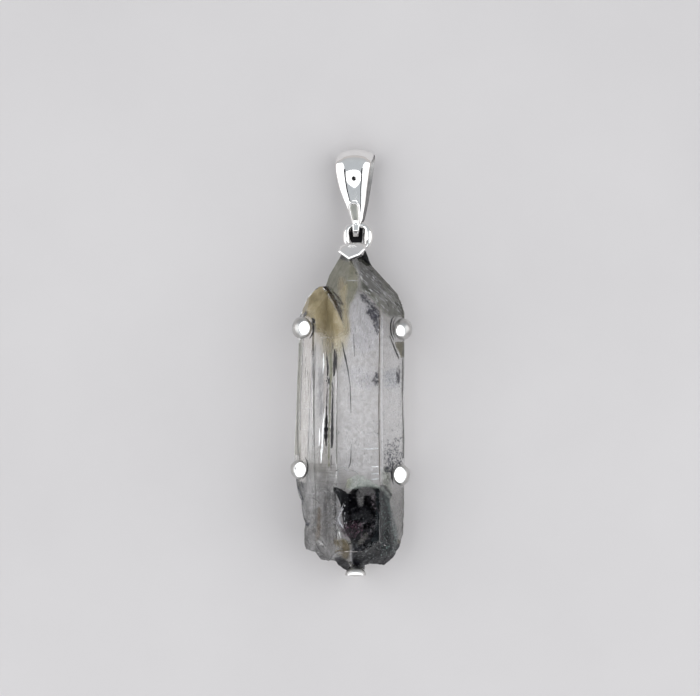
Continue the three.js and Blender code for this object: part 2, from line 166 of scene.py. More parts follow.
# ------------------------------------------------------------------ materials
class Nodes:
    """Short calls for building a material's nodes."""

    def __init__(self, name):
        self.mat = bpy.data.materials.new(name)
        self.mat.use_nodes = True
        self.tree = self.mat.node_tree
        self.tree.nodes.clear()
        self.out = self.tree.nodes.new("ShaderNodeOutputMaterial")
        self.coord = self.tree.nodes.new("ShaderNodeTexCoord")

    def node(self, kind, **values):
        n = self.tree.nodes.new(kind)
        for key, value in values.items():
            setattr(n, key, value)
        return n

    def link(self, a, b):
        self.tree.links.new(a, b)

    def place(self, scale=(1, 1, 1), rotate=(0, 0, 0), move=(0, 0, 0)):
        """Object coordinates in grid steps, then scaled."""
        m = self.node("ShaderNodeMapping")
        m.inputs["Scale"].default_value = [s / GRID for s in scale]
        m.inputs["Rotation"].default_value = rotate
        m.inputs["Location"].default_value = move
        self.link(self.coord.outputs["Object"], m.inputs["Vector"])
        return m.outputs["Vector"]

    def noise(self, size, detail=3.0, rough=0.55, stretch=(1, 1, 1), twist=0.0, move=(0, 0, 0)):
        """Noise whose features are about size grid steps across."""
        n = self.node("ShaderNodeTexNoise")
        n.inputs["Scale"].default_value = 1.0
        n.inputs["Detail"].default_value = detail
        n.inputs["Roughness"].default_value = rough
        n.inputs["Distortion"].default_value = twist
        self.link(self.place([s / size for s in stretch], move=move), n.inputs["Vector"])
        return n.outputs["Fac"]

    def ramp(self, source, stops, mode="LINEAR"):
        r = self.node("ShaderNodeValToRGB")
        r.color_ramp.interpolation = mode
        e = r.color_ramp.elements
        while len(e) < len(stops):
            e.new(0.5)
        for k, (place, colour) in enumerate(stops):
            e[k].position = place
            c = colour if isinstance(colour, (tuple, list)) else (colour,) * 3
            e[k].color = (*c, 1)
        self.link(source, r.inputs["Fac"])
        return r.outputs["Color"]

    def mix(self, fac, a, b):
        m = self.node("ShaderNodeMix", data_type="RGBA")
        for value, socket in ((fac, m.inputs[0]), (a, m.inputs[6]), (b, m.inputs[7])):
            if isinstance(value, bpy.types.NodeSocket):
                self.link(value, socket)
            elif isinstance(value, (tuple, list)):
                socket.default_value = (*value, 1)
            else:
                socket.default_value = value
        return m.outputs[2]

    def math(self, op, a, b=0.5, clamp=False):
        m = self.node("ShaderNodeMath", operation=op, use_clamp=clamp)
        for value, socket in ((a, m.inputs[0]), (b, m.inputs[1])):
            if isinstance(value, bpy.types.NodeSocket):
                self.link(value, socket)
            else:
                socket.default_value = value
        return m.outputs[0]

    def axis(self, which):
        """x, y (grid, downwards) or z of the point, in grid steps."""
        s = self.node("ShaderNodeSeparateXYZ")
        self.link(self.coord.outputs["Object"], s.inputs[0])
        raw = s.outputs["XYZ".index(which)]
        if which == "X":
            return self._affine(raw, 1 / GRID, MID_X)
        if which == "Y":
            return self._affine(raw, -1 / GRID, MID_Y)
        return self._affine(raw, 1 / GRID, 0)

    def _affine(self, raw, by, plus):
        m = self.node("ShaderNodeMath", operation="MULTIPLY_ADD")
        self.link(raw, m.inputs[0])
        m.inputs[1].default_value = by
        m.inputs[2].default_value = plus
        return m.outputs[0]

    def within(self, value, a, b):
        """0 below a, 1 above b, smooth between."""
        m = self.node("ShaderNodeMapRange", interpolation_type="SMOOTHSTEP")
        self.link(value, m.inputs["Value"])
        m.inputs["From Min"].default_value = a
        m.inputs["From Max"].default_value = b
        return m.outputs["Result"]

    def principled(self, **values):
        p = self.node("ShaderNodeBsdfPrincipled")
        for key, value in values.items():
            socket = p.inputs[key.replace("_", " ")]
            if isinstance(value, bpy.types.NodeSocket):
                self.link(value, socket)
            elif isinstance(value, (tuple, list)) and len(value) == 3:
                socket.default_value = (*value, 1)
            else:
                socket.default_value = value
        self.shader = p
        self.link(p.outputs[0], self.out.inputs["Surface"])
        return p

    def bump(self, height, strength, distance):
        b = self.node("ShaderNodeBump")
        b.inputs["Strength"].default_value = strength
        b.inputs["Distance"].default_value = distance * GRID
        self.link(height, b.inputs["Height"])
        self.link(b.outputs["Normal"], self.shader.inputs["Normal"])
        return b


def silver(name, colour, rough, dull=(0.80, 0.79, 0.78), grain=0.02):
    """Polished silver with fine rubbed marks and a little dulling."""
    m = Nodes(name)
    cloud = m.noise(9, 4)
    fine = m.noise(1.1, 5, 0.7, stretch=(1, 0.25, 1))
    base = m.mix(m.ramp(cloud, [(0.42, 0.0), (0.75, 1.0)]), colour, dull)
    roughness = m.node("ShaderNodeMapRange")
    m.link(fine, roughness.inputs["Value"])
    roughness.inputs["To Min"].default_value = rough * 0.6
    roughness.inputs["To Max"].default_value = rough * 1.5
    m.principled(Base_Color=base, Metallic=1.0, Roughness=roughness.outputs["Result"])
    m.bump(fine, grain, 0.5)
    return m.mat


def quartz_glass(name, tint, density):
    """Clear quartz. Lamps shine through it, so what lies in it and under it is lit."""
    m = Nodes(name)
    m.principled(
        Base_Color=(1.0, 1.0, 1.0),
        Roughness=0.012,
        IOR=IOR,
        Transmission_Weight=1.0,
        Specular_Tint=(0.45, 0.45, 0.46),
    )
    etch = m.noise(2.2, 4, 0.6, stretch=(0.35, 1.0, 0.35))
    m.bump(etch, 0.05, 0.6)
    path = m.node("ShaderNodeLightPath")
    clear = m.node("ShaderNodeBsdfTransparent")
    clear.inputs["Color"].default_value = (0.965, 0.965, 0.965, 1)
    both = m.node("ShaderNodeMixShader")
    m.link(path.outputs["Is Shadow Ray"], both.inputs[0])
    m.link(m.shader.outputs[0], both.inputs[1])
    m.link(clear.outputs[0], both.inputs[2])
    m.link(both.outputs[0], m.out.inputs["Surface"])
    absorb = m.node("ShaderNodeVolumeAbsorption")
    absorb.inputs["Color"].default_value = (*tint, 1)
    absorb.inputs["Density"].default_value = density
    m.link(absorb.outputs[0], m.out.inputs["Volume"])
    return m.mat


# --------------------------------------------------------------------- studio
def studio():
    m = Nodes("pale_table")
    cloud = m.noise(260, 5, 0.55)
    base = m.ramp(cloud, [(0.3, (0.650, 0.630, 0.632)), (0.7, (0.686, 0.666, 0.667))])
    m.principled(Base_Color=base, Roughness=0.65, Specular_IOR_Level=0.25)
    size = 1.6
    floor = add_mesh(
        "floor",
        [(-size, -size, -2e-5), (size, -size, -2e-5), (size, size, -2e-5), (-size, size, -2e-5)],
        [(0, 1, 2, 3)],
        m.mat,
        body=None,
        smooth=False,
    )

    world = bpy.data.worlds.new("tent")
    scene.world = world
    world.use_nodes = True
    nt = world.node_tree
    nt.nodes.clear()
    out = nt.nodes.new("ShaderNodeOutputWorld")
    back = nt.nodes.new("ShaderNodeBackground")
    coord = nt.nodes.new("ShaderNodeTexCoord")
    split = nt.nodes.new("ShaderNodeSeparateXYZ")
    ramp = nt.nodes.new("ShaderNodeValToRGB")
    nt.links.new(coord.outputs["Generated"], split.inputs[0])
    nt.links.new(split.outputs["Z"], ramp.inputs["Fac"])
    stops = WORLD_STOPS
    e = ramp.color_ramp.elements
    while len(e) < len(stops):
        e.new(0.5)
    for k, (place, colour) in enumerate(stops):
        e[k].position = place
        e[k].color = (*colour, 1)
    nt.links.new(ramp.outputs["Color"], back.inputs["Color"])
    back.inputs["Strength"].default_value = 1.0
    nt.links.new(back.outputs[0], out.inputs["Surface"])

    def panel(name, zenith, azimuth, distance, width, height, radiance, colour=(1, 1, 1)):
        """A soft oval panel facing the part; azimuth 0 is +X, 90 is +Y."""
        light = bpy.data.lights.new(name, "AREA")
        light.shape = "ELLIPSE"
        light.size, light.size_y = width, height
        light.color = colour
        light.energy = radiance * math.pi * width * height * math.pi / 4
        obj = bpy.data.objects.new(name, light)
        z, a = math.radians(zenith), math.radians(azimuth)
        d = Vector((math.sin(z) * math.cos(a), math.sin(z) * math.sin(a), math.cos(z)))
        obj.location = d * distance
        obj.rotation_mode = "QUATERNION"
        obj.rotation_quaternion = d.to_track_quat("Z", "Y")
        obj.visible_camera = False
        scene.collection.objects.link(obj)
        return obj

    for values in PANELS:
        panel(*values)

    # a dark round opening over the part, as a light tent has
    dark = Nodes("opening")
    dark.principled(Base_Color=(0.004, 0.004, 0.006), Roughness=0.6)
    ring = [
        (
            (EYE_X - MID_X) * GRID + OPENING * math.cos(a),
            (MID_Y - EYE_Y) * GRID + OPENING * math.sin(a),
            (EYE + LEVEL) * GRID + 0.004,
        )
        for a in np.linspace(0, 2 * math.pi, 48, endpoint=False)
    ]
    hole = add_mesh("tent_opening", ring, [tuple(range(48))], dark.mat, body=None, smooth=False)

    # dark flags on each side of the panel overhead
    for k, side in enumerate((-1, 1)):
        a, b = 0.041 * side, 0.088 * side
        flag = add_mesh(
            "flag_%d" % k,
            [(a, -0.075, 0.398), (b, -0.075, 0.398), (b, 0.050, 0.398), (a, 0.050, 0.398)],
            [(0, 1, 2, 3)],
            dark.mat,
            body=None,
            smooth=False,
        )

    cam = bpy.data.cameras.new("camera")
    cam.lens, cam.sensor_width = LENS, SENSOR
    cam.clip_start, cam.clip_end = 0.01, 10
    eye = bpy.data.objects.new("camera", cam)
    eye.location = (
        (EYE_X - MID_X) * GRID,
        (MID_Y - EYE_Y) * GRID,
        (EYE + LEVEL) * GRID,
    )
    scene.collection.objects.link(eye)
    scene.camera = eye
    scene.view_settings.view_transform = "Standard"
    scene.view_settings.look = "None"
    # many thin bodies lie one behind another in the quartz
    scene.cycles.transparent_max_bounces = 32
    scene.cycles.transmission_bounces = 16
    scene.cycles.max_bounces = 16


WORLD_STOPS = [
    (0.0, (0.53, 0.505, 0.495)),
    (0.20, (0.56, 0.535, 0.53)),
    (0.44, (0.47, 0.48, 0.50)),
    (0.80, (0.51, 0.54, 0.565)),
    (1.0, (0.50, 0.53, 0.56)),
]
OPENING = 0.0085
# name, zenith, azimuth, distance, width, height, radiance
PANELS = [
    ("over", 0.15, -90, 0.40, 0.082, 0.083, 1.35),
    ("left", 43.5, 180, 0.45, 0.55, 0.60, 1.06),
    ("right", 43.5, 0, 0.45, 0.55, 0.60, 1.03),
    ("near", 46, -90, 0.45, 0.32, 0.30, 1.05),
]
studio()


# ---------------------------------------------------------------------- silver
polished = silver("silver_polished", (0.95, 0.94, 0.925), 0.05)
bail_silver = silver("silver_bail", (0.965, 0.955, 0.94), 0.028, dull=(0.90, 0.89, 0.88), grain=0.008)
ring_silver = silver("silver_ring", (0.94, 0.93, 0.915), 0.10)
# the band's side walls, coloured near black: painted shade for the dark line along the bail's edges
bail_side_shaded = silver("silver_bail_side_painted_shade", (0.10, 0.10, 0.105), 0.35, dull=(0.05, 0.05, 0.055), grain=0.05)
bail_inside = silver("silver_bail_inside", (0.62, 0.61, 0.60), 0.42, dull=(0.46, 0.455, 0.45), grain=0.06)
# the tongue inside the raised seam: rougher, and coloured dark grey as painted shade
bail_tongue_shaded = silver("silver_bail_tongue_shaded", (0.42, 0.42, 0.39), 0.30, dull=(0.33, 0.33, 0.30), grain=0.08)


def claw_finish():
    """Satin sides, rougher and coloured a darker grey than silver as painted shade for the grey rims; near-white silver
    where the claw was hammered down; tarnish black in the pits.
    """
    m = Nodes("silver_claw")
    worked = m.node("ShaderNodeAttribute")
    worked.attribute_name = "hammered"
    bright = m.within(worked.outputs["Fac"], 0.15, 0.85)
    fine = m.noise(1.1, 5, 0.7)
    # darker grey sides: painted shade
    cloud = m.ramp(m.noise(6, 4), [(0.35, (0.50, 0.495, 0.485)), (0.75, (0.66, 0.655, 0.64))])
    base = m.mix(bright, cloud, (0.97, 0.965, 0.955))
    tarnish = m.within(m.math("MULTIPLY", worked.outputs["Fac"], -1.0), 0.2, 0.6)
    base = m.mix(tarnish, base, (0.02, 0.02, 0.02))
    rough = m.math("MULTIPLY_ADD", bright, -0.26)
    rough.node.inputs[2].default_value = 0.32
    m.principled(Base_Color=base, Metallic=1.0, Roughness=rough)
    m.bump(fine, 0.02, 0.5)
    return m.mat


claw_silver = claw_finish()
satin = silver("silver_wire", (0.86, 0.85, 0.835), 0.16, dull=(0.66, 0.65, 0.63), grain=0.05)
plate_silver = silver("silver_plate", (0.95, 0.94, 0.93), 0.22, dull=(0.90, 0.895, 0.89), grain=0.06)


def bead(verts, faces, marks, centre, radii, flats=(), pits=(), lumps=0.02, seed=0.0):
    """Adds a melted wire end: a ball with hammered flats (direction, height)."""
    bm = bmesh.new()
    bmesh.ops.create_icosphere(bm, subdivisions=5, radius=1)
    start = len(verts)
    for v in bm.verts:
        d = v.co.normalized()
        p = d * (1 + lumps * noise.noise(d * 1.6 + Vector((seed, 3.1, 0))))
        worked = 0.0
        for direction, height in flats:
            n = Vector(direction).normalized()
            t = p.dot(n)
            over = t - height
            if over > -0.12:
                # eases into the flat and leaves it a little domed
                ease = smoothstep(-0.12, 0.12, over)
                p = p - n * (max(over, 0.0) * 0.86 + 0.012 * ease)
                worked = max(worked, ease)
        for direction, size, depth in pits:
            n = Vector(direction).normalized()
            gap = (d - n).length
            hole = math.exp(-((gap / size) ** 2))
            p = p * (1 - depth * hole)
            worked = worked * (1 - hole) - hole
        marks.append(worked)
        verts.append(at(centre[0] + p.x * radii[0], centre[1] - p.y * radii[1], centre[2] + p.z * radii[2]))
    for f in bm.faces:
        faces.append(tuple(start + v.index for v in f.verts))
    bm.free()


def strip(verts, faces, path, thick, width, across, flare=1.0, corner=3.2):
    """Adds flattened wire along a path; across is the direction of its width."""
    points = even([(at(*p)) for p in catmull(path, 10)], 40)
    sides = 20
    start = len(verts)
    wide = Vector(across)
    for i, p in enumerate(points):
        a, b = points[max(i - 1, 0)], points[min(i + 1, len(points) - 1)]
        t = (Vector(b) - Vector(a)).normalized()
        thin = t.cross(wide).normalized()
        grow = 1 + (flare - 1) * smoothstep(0.62, 1.0, i / (len(points) - 1))
        for k in range(sides):
            q = 2 * math.pi * (k + 0.5) / sides
            c, s = math.cos(q), math.sin(q)
            x = math.copysign(abs(c) ** (2 / corner), c) * width / 2 * grow
            y = math.copysign(abs(s) ** (2 / corner), s) * thick / 2 * (1 + (grow - 1) * 0.6)
            verts.append(Vector(p) + wide * x * GRID + thin * y * GRID)
    faces += rows_to_faces(len(points), sides, start=start)
    faces.append(tuple(start + k for k in reversed(range(sides))))
    end = start + (len(points) - 1) * sides
    faces.append(tuple(end + k for k in range(sides)))


def claw(node, path, thick, width, across, centre, radii, flats, pits=(), seed=0.0, flare=0.95):
    verts, faces = [], []
    strip(verts, faces, path, thick, width, across, flare)
    marks = [0.0] * len(verts)
    bead(verts, faces, marks, centre, radii, flats, pits, seed=seed)
    obj = outward(add_mesh(node + "_wire", verts, faces, claw_silver, sharp=50))
    obj.data.attributes.new("hammered", "FLOAT", "POINT").data.foreach_set("value", marks)
    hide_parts(node)
    return obj


WIRE, RIGHT_RAIL_X, LEFT_RAIL_X, FIT = 8, 394.6, 328, 0.5


def right_claw(node, y, tip, radii, edge, **more):
    claw(
        node,
        [
            (RIGHT_RAIL_X + 0.6, y, WIRE + FIT),
            (RIGHT_RAIL_X + 0.8, y, WIRE + FIT + 2.6),
            (400.6, y, 20.5),
            (edge + 0.8, y, 29.2),
            (edge + 2.6, y, 35),
            (edge + 1.4, y, 43),
            (tip[0] + 0.6, y, tip[2] - 6),
        ],
        5, 9, (0, 1, 0), tip, radii, **more,
    )


def left_claw(node, y, tip, radii, edge, heel, **more):
    claw(
        node,
        [
            (LEFT_RAIL_X - 0.4, y, WIRE + FIT),
            (LEFT_RAIL_X - 0.7, y, WIRE + FIT + 2.6),
            (320.2, y, 24),
            (edge + heel, y, 37.2),
            (edge + 3.4, y, 49.2),
            (edge - 1.6, y, 57),
            (edge - 0.2, y, 66),
            (tip[0] - 0.6, y, tip[2] - 5),
        ],
        5, 9, (0, 1, 0), tip, radii, **more,
    )


right_claw("claw_upper_right", 329.3, (402.7, 329.3, 57.6), (9.25, 10.6, 9), 404.6,
           flats=[((-0.34, -0.20, 0.92), 0.85)], seed=1.0)
right_claw("claw_lower_right", 474, (401.2, 474, 58.8), (8.4, 10.4, 8.2), 404.9,
           flats=[((-0.30, 0.05, 0.95), 0.66)], seed=2.0)
left_claw("claw_upper_left", 328.2, (302.6, 328.2, 82.4), (9.7, 11, 7.6), 299.5, 12.2,
          flats=[((0.30, -0.02, 0.95), 0.80)], seed=3.0)
left_claw("claw_lower_left", 467.2, (299.4, 467.2, 82), (7.7, 9.6, 7), 295.2, 10.6,
          flats=[((0.30, -0.04, 0.95), 0.64)], pits=[((-0.36, 0.12, 0.92), 0.10, 0.12)], seed=4.0)
claw("claw_bottom",
     [(355.5, 574.9, WIRE + FIT), (355.5, 574.6, 24), (355.5, 574.2, 42), (355.5, 572.6, 51), (355.5, 571.0, 56.5)],
     4.6, 11, (1, 0, 0), (355.5, 573.0, 60.6), (10.2, 8.2, 6),
     flats=[((0.0, -1.0, 0.0), 0.06), ((0.0, -0.574, 0.819), 0.55)], seed=5.0, flare=1.0)


# back frame: one loop of wire, its edges rubbed round
LOOP = [
    (353.5, 250.5), (359.5, 257), (366, 266.5), (374.8, 276.3), (384, 285.6),
    (391.6, 296.6), (394.2, 309), (RIGHT_RAIL_X, 322), (RIGHT_RAIL_X, 400),
    (RIGHT_RAIL_X, 480), (RIGHT_RAIL_X, 536), (393.8, 545.2), (389.4, 553.2),
    (381, 558.2), (371.5, 560.2), (365.2, 565.2), (361, 571), (355.5, 573.6),
    (350, 571.2), (344.5, 565), (337.4, 557.6), (331, 549.8), (328.4, 539),
    (LEFT_RAIL_X, 526), (LEFT_RAIL_X, 480), (LEFT_RAIL_X, 400),
    (LEFT_RAIL_X, 322), (328.2, 308), (330.9, 293.5), (336, 279),
    (341.5, 266), (347.5, 256),
]


def back_frame():
    line = even(catmull(LOOP, 16, closed=True), 420, closed=True)
    sides = 28
    verts = []
    for i, p in enumerate(line):
        a, b = line[i - 1], line[(i + 1) % len(line)]
        t = (b - a) / np.linalg.norm(b - a)
        worn = 0.10 * noise.noise(Vector((p[0] * 0.09, p[1] * 0.09, 2.0)))
        for k in range(sides):
            q = 2 * math.pi * (k + 0.5) / sides
            c, s = math.cos(q), math.sin(q)
            u = math.copysign(abs(c) ** 0.5, c) * (WIRE / 2 - 0.02)
            z = WIRE / 2 + math.copysign(abs(s) ** 0.5, s) * (WIRE / 2)
            if s > 0:
                z -= 0.25 * abs(u / 4) ** 3 + max(worn, 0)
            verts.append(at(p[0] - t[1] * u, p[1] + t[0] * u, z))
    faces = rows_to_faces(len(line), sides, closed_rows=True)
    obj = outward(add_mesh("back_frame_wire", verts, faces, satin))
    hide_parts("back_frame")


back_frame()


# tip plate: strap, pointed plate with a bright bevel, and a solder seam
PLATE = [
    (337.9, 252.4), (340.4, 246.6), (346, 243.9), (353, 243.4), (361, 243.4),
    (365.6, 244.6), (365.3, 250), (359.6, 255.9), (348.6, 260.2),
]


def plate_z(y):
    return 63 - 0.6 * (260.2 - y)


def inset(points, by):
    out = []
    n = len(points)
    for i in range(n):
        a, b, c = (np.array(points[(i + k) % n], float) for k in (-1, 0, 1))
        d1, d2 = (b - a) / np.linalg.norm(b - a), (c - b) / np.linalg.norm(c - b)
        n1, n2 = np.array([-d1[1], d1[0]]), np.array([-d2[1], d2[0]])
        m = n1 + n2
        m = m / (m @ n1)
        out.append(tuple(b + m * by))
    return out


def tip_plate():
    turn = sum(
        (PLATE[i][0] * PLATE[(i + 1) % 9][1] - PLATE[(i + 1) % 9][0] * PLATE[i][1]) for i in range(9)
    )
    sign = 1 if turn > 0 else -1
    # each ring of the plate: inset from the outline, height over the underside
    rings = [(0.35, 0.0), (0.0, 0.3), (0.0, 3.3), (0.12, 3.6), (1.45, 4.75), (1.75, 4.95), (2.6, 5.0)]
    verts, faces = [], []
    for by, up in rings:
        for x, y in inset(PLATE, sign * by):
            verts.append(at(x, y, plate_z(y) + up))
    n = len(PLATE)
    faces += rows_to_faces(len(rings), n)
    faces.append(tuple(range(n)))
    faces.append(tuple(reversed(range((len(rings) - 1) * n, len(rings) * n))))
    # strap behind it
    x0, x1 = 347, 361.4
    side = [
        (248, WIRE + FIT), (253, WIRE + FIT), (253, plate_z(253) + 1),
        (254, plate_z(254) + 3), (248, plate_z(248) + 4),
    ]
    start = len(verts)
    for x in (x0, x1):
        verts += [at(x, y, z) for y, z in side]
    m = len(side)
    for k in range(m):
        faces.append((start + k, start + (k + 1) % m, start + m + (k + 1) % m, start + m + k))
    faces.append(tuple(start + k for k in range(m)))
    faces.append(tuple(start + m + k for k in reversed(range(m))))
    obj = add_mesh("tip_plate_sheet", verts, faces, plate_silver)
    outward(obj)
    mod = obj.modifiers.new("worn", "BEVEL")
    mod.width, mod.segments, mod.limit_method = 0.28 * GRID, 2, "ANGLE"
    mod.angle_limit = math.radians(25)
    obj.data.set_sharp_from_angle(angle=math.radians(24))
    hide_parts("tip_plate")

    # two small beads of solder where the ring is joined to the plate
    verts, faces = [], []
    for cx, cy, r, fat in ((352.2, 249.0, 4.4, 0.95), (351.6, 248.9, 2.2, 0.6)):
        start = len(verts)
        rows, sides = 28, 12
        for i in range(rows):
            q = math.radians(200 + 140 * i / (rows - 1))
            x, y = cx + r * math.cos(q), cy + r * 0.85 * math.sin(q)
            f = fat * (0.35 + 0.65 * math.sin(math.pi * i / (rows - 1)) ** 0.5)
            for k in range(sides):
                w = 2 * math.pi * k / sides
                xx = x + math.cos(q) * math.cos(w) * f
                yy = y + math.sin(q) * math.cos(w) * f
                verts.append(at(xx, yy, plate_z(yy) + 5.0 + math.sin(w) * f))
        faces += rows_to_faces(rows, sides, start=start)
        faces.append(tuple(start + k for k in reversed(range(sides))))
        faces.append(tuple(start + (rows - 1) * sides + k for k in range(sides)))
    seam = outward(add_mesh("solder_seam", verts, faces, polished))


tip_plate()


def ring():
    cx, cy, cz, hx, hy = 358.2, 236, 30, 10.4, 11.7
    rows, sides = 120, 28
    verts = []
    for i in range(rows):
        a = -i / rows * 2 * math.pi
        c, s = math.cos(a), math.sin(a)
        # worn thinner where the bail's tail swings past it
        r = 3.3 + (1.9 * c**4 if c > 0 else 0.5 * c**4 + 2.2 * c * (1 + c))
        hx = 10.2 if c > 0 else 12.0
        sq = lambda v, e: math.copysign(abs(v) ** e, v)
        out = Vector((sq(c, 1.26) / hx, sq(s, 1.26) / hy, 0)).normalized()
        for k in range(sides):
            b = 2 * math.pi * k / sides
            x = cx + sq(c, 0.74) * hx + out.x * math.cos(b) * r
            y = cy - (sq(s, 0.74) * hy + out.y * math.cos(b) * r)
            z = cz + math.sin(b) * r
            verts.append(at(x, min(y, 247.5), z))
    faces = rows_to_faces(rows, sides, closed_rows=True)
    obj = outward(add_mesh("ring_wire", verts, faces, ring_silver))
    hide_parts("ring")


ring()


# bail: a tapered band folded over, its front leaf domed and its tail welded
BAIL_OUTER = [
    (238, 30.2), (237, 33.2), (232.4, 36.1), (224, 37.7), (214, 38.8),
    (205, 39.85), (196, 40.85), (190, 41.55), (184, 42.28), (178.5, 42.75), (172, 43.1), (166, 43.2),
    (161, 42.9), (157, 41.2), (153.4, 37.6), (150.4, 32.6), (148.4, 27.4), (147.6, 21.4), (148.8, 15.2),
    (152, 9.4), (157, 4.6), (164, 1.5), (172, 0.6), (181, 1.9), (192, 5.7),
    (204, 11), (214, 15.8), (224.5, 21), (232.4, 23.6), (237, 27),
]
BAIL_LEFT = [
    (147, 337.6), (154, 337.4), (163, 337.3), (171, 337.5), (183, 339.8), (190, 341.6), (200, 345.4),
    (207, 348.4), (219, 352.2), (222, 353.4), (224.5, 353.9), (227, 354.1), (232, 354.3), (239, 354.6),
]
BAIL_RIGHT = [
    (147, 374.2), (153, 374.2), (163, 372.6), (171, 371.4), (183, 369.8), (190, 368.8), (200, 367.7),
    (207, 366.7), (219, 364.4), (222.4, 362.6), (224.5, 361.6), (227, 360.8), (232, 360.0), (239, 359.0),
]


def dome(u, half):
    """How far the outer face falls below its middle, u from -1 to 1."""
    a = abs(u)
    flat = 0.50
    if a <= flat:
        f = (a * 17) ** 2 / 370
    else:
        f = (flat * 17) ** 2 / 370
        n = 12
        for k in range(n):
            w = flat + (a - flat) * (k + 0.5) / n
            slope = 0.046 + 0.036 * smoothstep(0.50, 0.53, w) + 0.21 * smoothstep(0.61, 0.68, w) + 0.24 * (w - flat) / (1 - flat)
            f += slope * 17 * (a - flat) / n
    return f * min(1.0, half / 17)


def bail():
    stations, cols = 300, 49
    prof = even(catmull(BAIL_OUTER, 14, closed=True), stations, closed=True)
    for _ in range(60):  # an even curve, as a polished band has
        prof = prof * 0.5 + (np.roll(prof, 1, 0) + np.roll(prof, -1, 0)) * 0.25
    ly, lx = np.array(BAIL_LEFT).T
    ry, rx = np.array(BAIL_RIGHT).T
    outer, inner = [], []
    verts = []
    tongue_shaded = set()
    for i, p in enumerate(prof):
        a, b = prof[i - 2], prof[(i + 2) % stations]
        t = (b - a) / np.linalg.norm(b - a)
        out = np.array([-t[1], t[0]])  # y, z
        if out @ (p - np.array([190, 22])) < 0:
            out = -out
        y, z = p
        left, right = np.interp(y, ly, lx), np.interp(y, ry, rx)
        mid, half = (left + right) / 2, (right - left) / 2
        # the rear leaf and the tail are less domed than the front
        front = smoothstep(16, 34, z) * (1 - 0.55 * smoothstep(214, 228, y))
        row_o, row_i = [], []
        for k in range(cols):
            u = -1 + 2 * k / (cols - 1)
            u = math.copysign(abs(u) ** 0.92, u)
            x = mid + u * half
            drop = dome(u - 0.10 * (1 - u * u) * front, half) * (0.25 + 0.75 * front)
            edge = 0.45 * smoothstep(0.93, 1.0, abs(u)) ** 2
            arc = 3.6 * abs(u) ** 2.2 * (1 - smoothstep(149, 164, y)) * smoothstep(6, 20, z)
            edge += arc
            lift = 0.0
            if z > 30 and 196 < y < 230:
                # raised seam round the welded tongue
                along = min(1.0, max(0.0, (y - 207.4) / 14.5))
                cx, cy = 355.6 + 1.9 * along, 207.4 + 14.5 * along
                d = math.hypot(x - cx, y - cy) - (4.4 - 1.3 * along)
                fade = 1 - smoothstep(219, 226, y)
                lift = (1.35 * math.exp(-((d / 0.85) ** 2)) - 0.55 * (1 - smoothstep(-1.2, 0.2, d))) * fade
                # points inside the seam take the dark grey painted-shade silver
                if d < -0.75 and y < 221:
                    tongue_shaded.add(i * cols + k)
            oy, oz = p - out * (drop + edge - lift)
            wall = max(1.1, 4 - drop * 0.35)
            q = p - out * (drop * 0.35 + wall + arc)
            qy, qz = q
            if qy > 231.6:
                qy = 231.6
            show = 0.30 * (oz - qz) * smoothstep(0.72, 1.0, u) * smoothstep(22, 30, z) * (1 - smoothstep(214, 222, y))
            row_o.append((x - 0.1 * (oz - 21) - 0.35 * show, oy, max(oz, 0.3)))
            row_i.append((x - 0.1 * (qz - 21) + 0.65 * show, qy, qz))
        outer.append(row_o)
        inner.append(row_i)
    # the void ends where the leaves meet: its last stations close on one line
    closing = [i for i in range(stations) if inner[i][0][1] >= 231.55 or prof[i][0] > 233]
    for i in closing:
        for k in range(cols):
            x, y, z = inner[i][k]
            inner[i][k] = (x, 231.6, min(max(z, 28.2), 31.4))
    for grid in (outer, inner):
        for row in grid:
            verts += [at(*q) for q in row]
    faces = rows_to_faces(stations, cols, closed_rows=True, closed_sides=False)
    base = stations * cols
    for a, b, c, d in rows_to_faces(stations, cols, closed_rows=True, closed_sides=False, start=base):
        faces.append((a, d, c, b))
    for i in range(stations):
        j = (i + 1) % stations
        for k in (0, cols - 1):
            quad = (i * cols + k, j * cols + k, base + j * cols + k, base + i * cols + k)
            faces.append(quad if k == 0 else tuple(reversed(quad)))
    obj = add_mesh("bail_band", verts, faces, bail_silver, body="bail", smooth=True)
    outward(obj)
    obj.data.materials.append(bail_side_shaded)
    obj.data.materials.append(bail_inside)
    obj.data.materials.append(bail_tongue_shaded)
    # the side walls take the near-black painted shade; the inside and the tongue have their own silvers
    rim = {i * cols + k for i in range(stations) for k in (0, cols - 1)}
    rim |= {base + v for v in rim}
    for f in obj.data.polygons:
        if all(v in rim for v in f.vertices):
            f.material_index = 1
        elif all(v >= base for v in f.vertices):
            f.material_index = 2
        elif all(v in tongue_shaded for v in f.vertices):
            f.material_index = 3
    for e in obj.data.edges:
        if e.vertices[0] in rim and e.vertices[1] in rim and (e.vertices[0] < base) == (e.vertices[1] < base):
            e.use_edge_sharp = True
    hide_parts("bail")


bail()


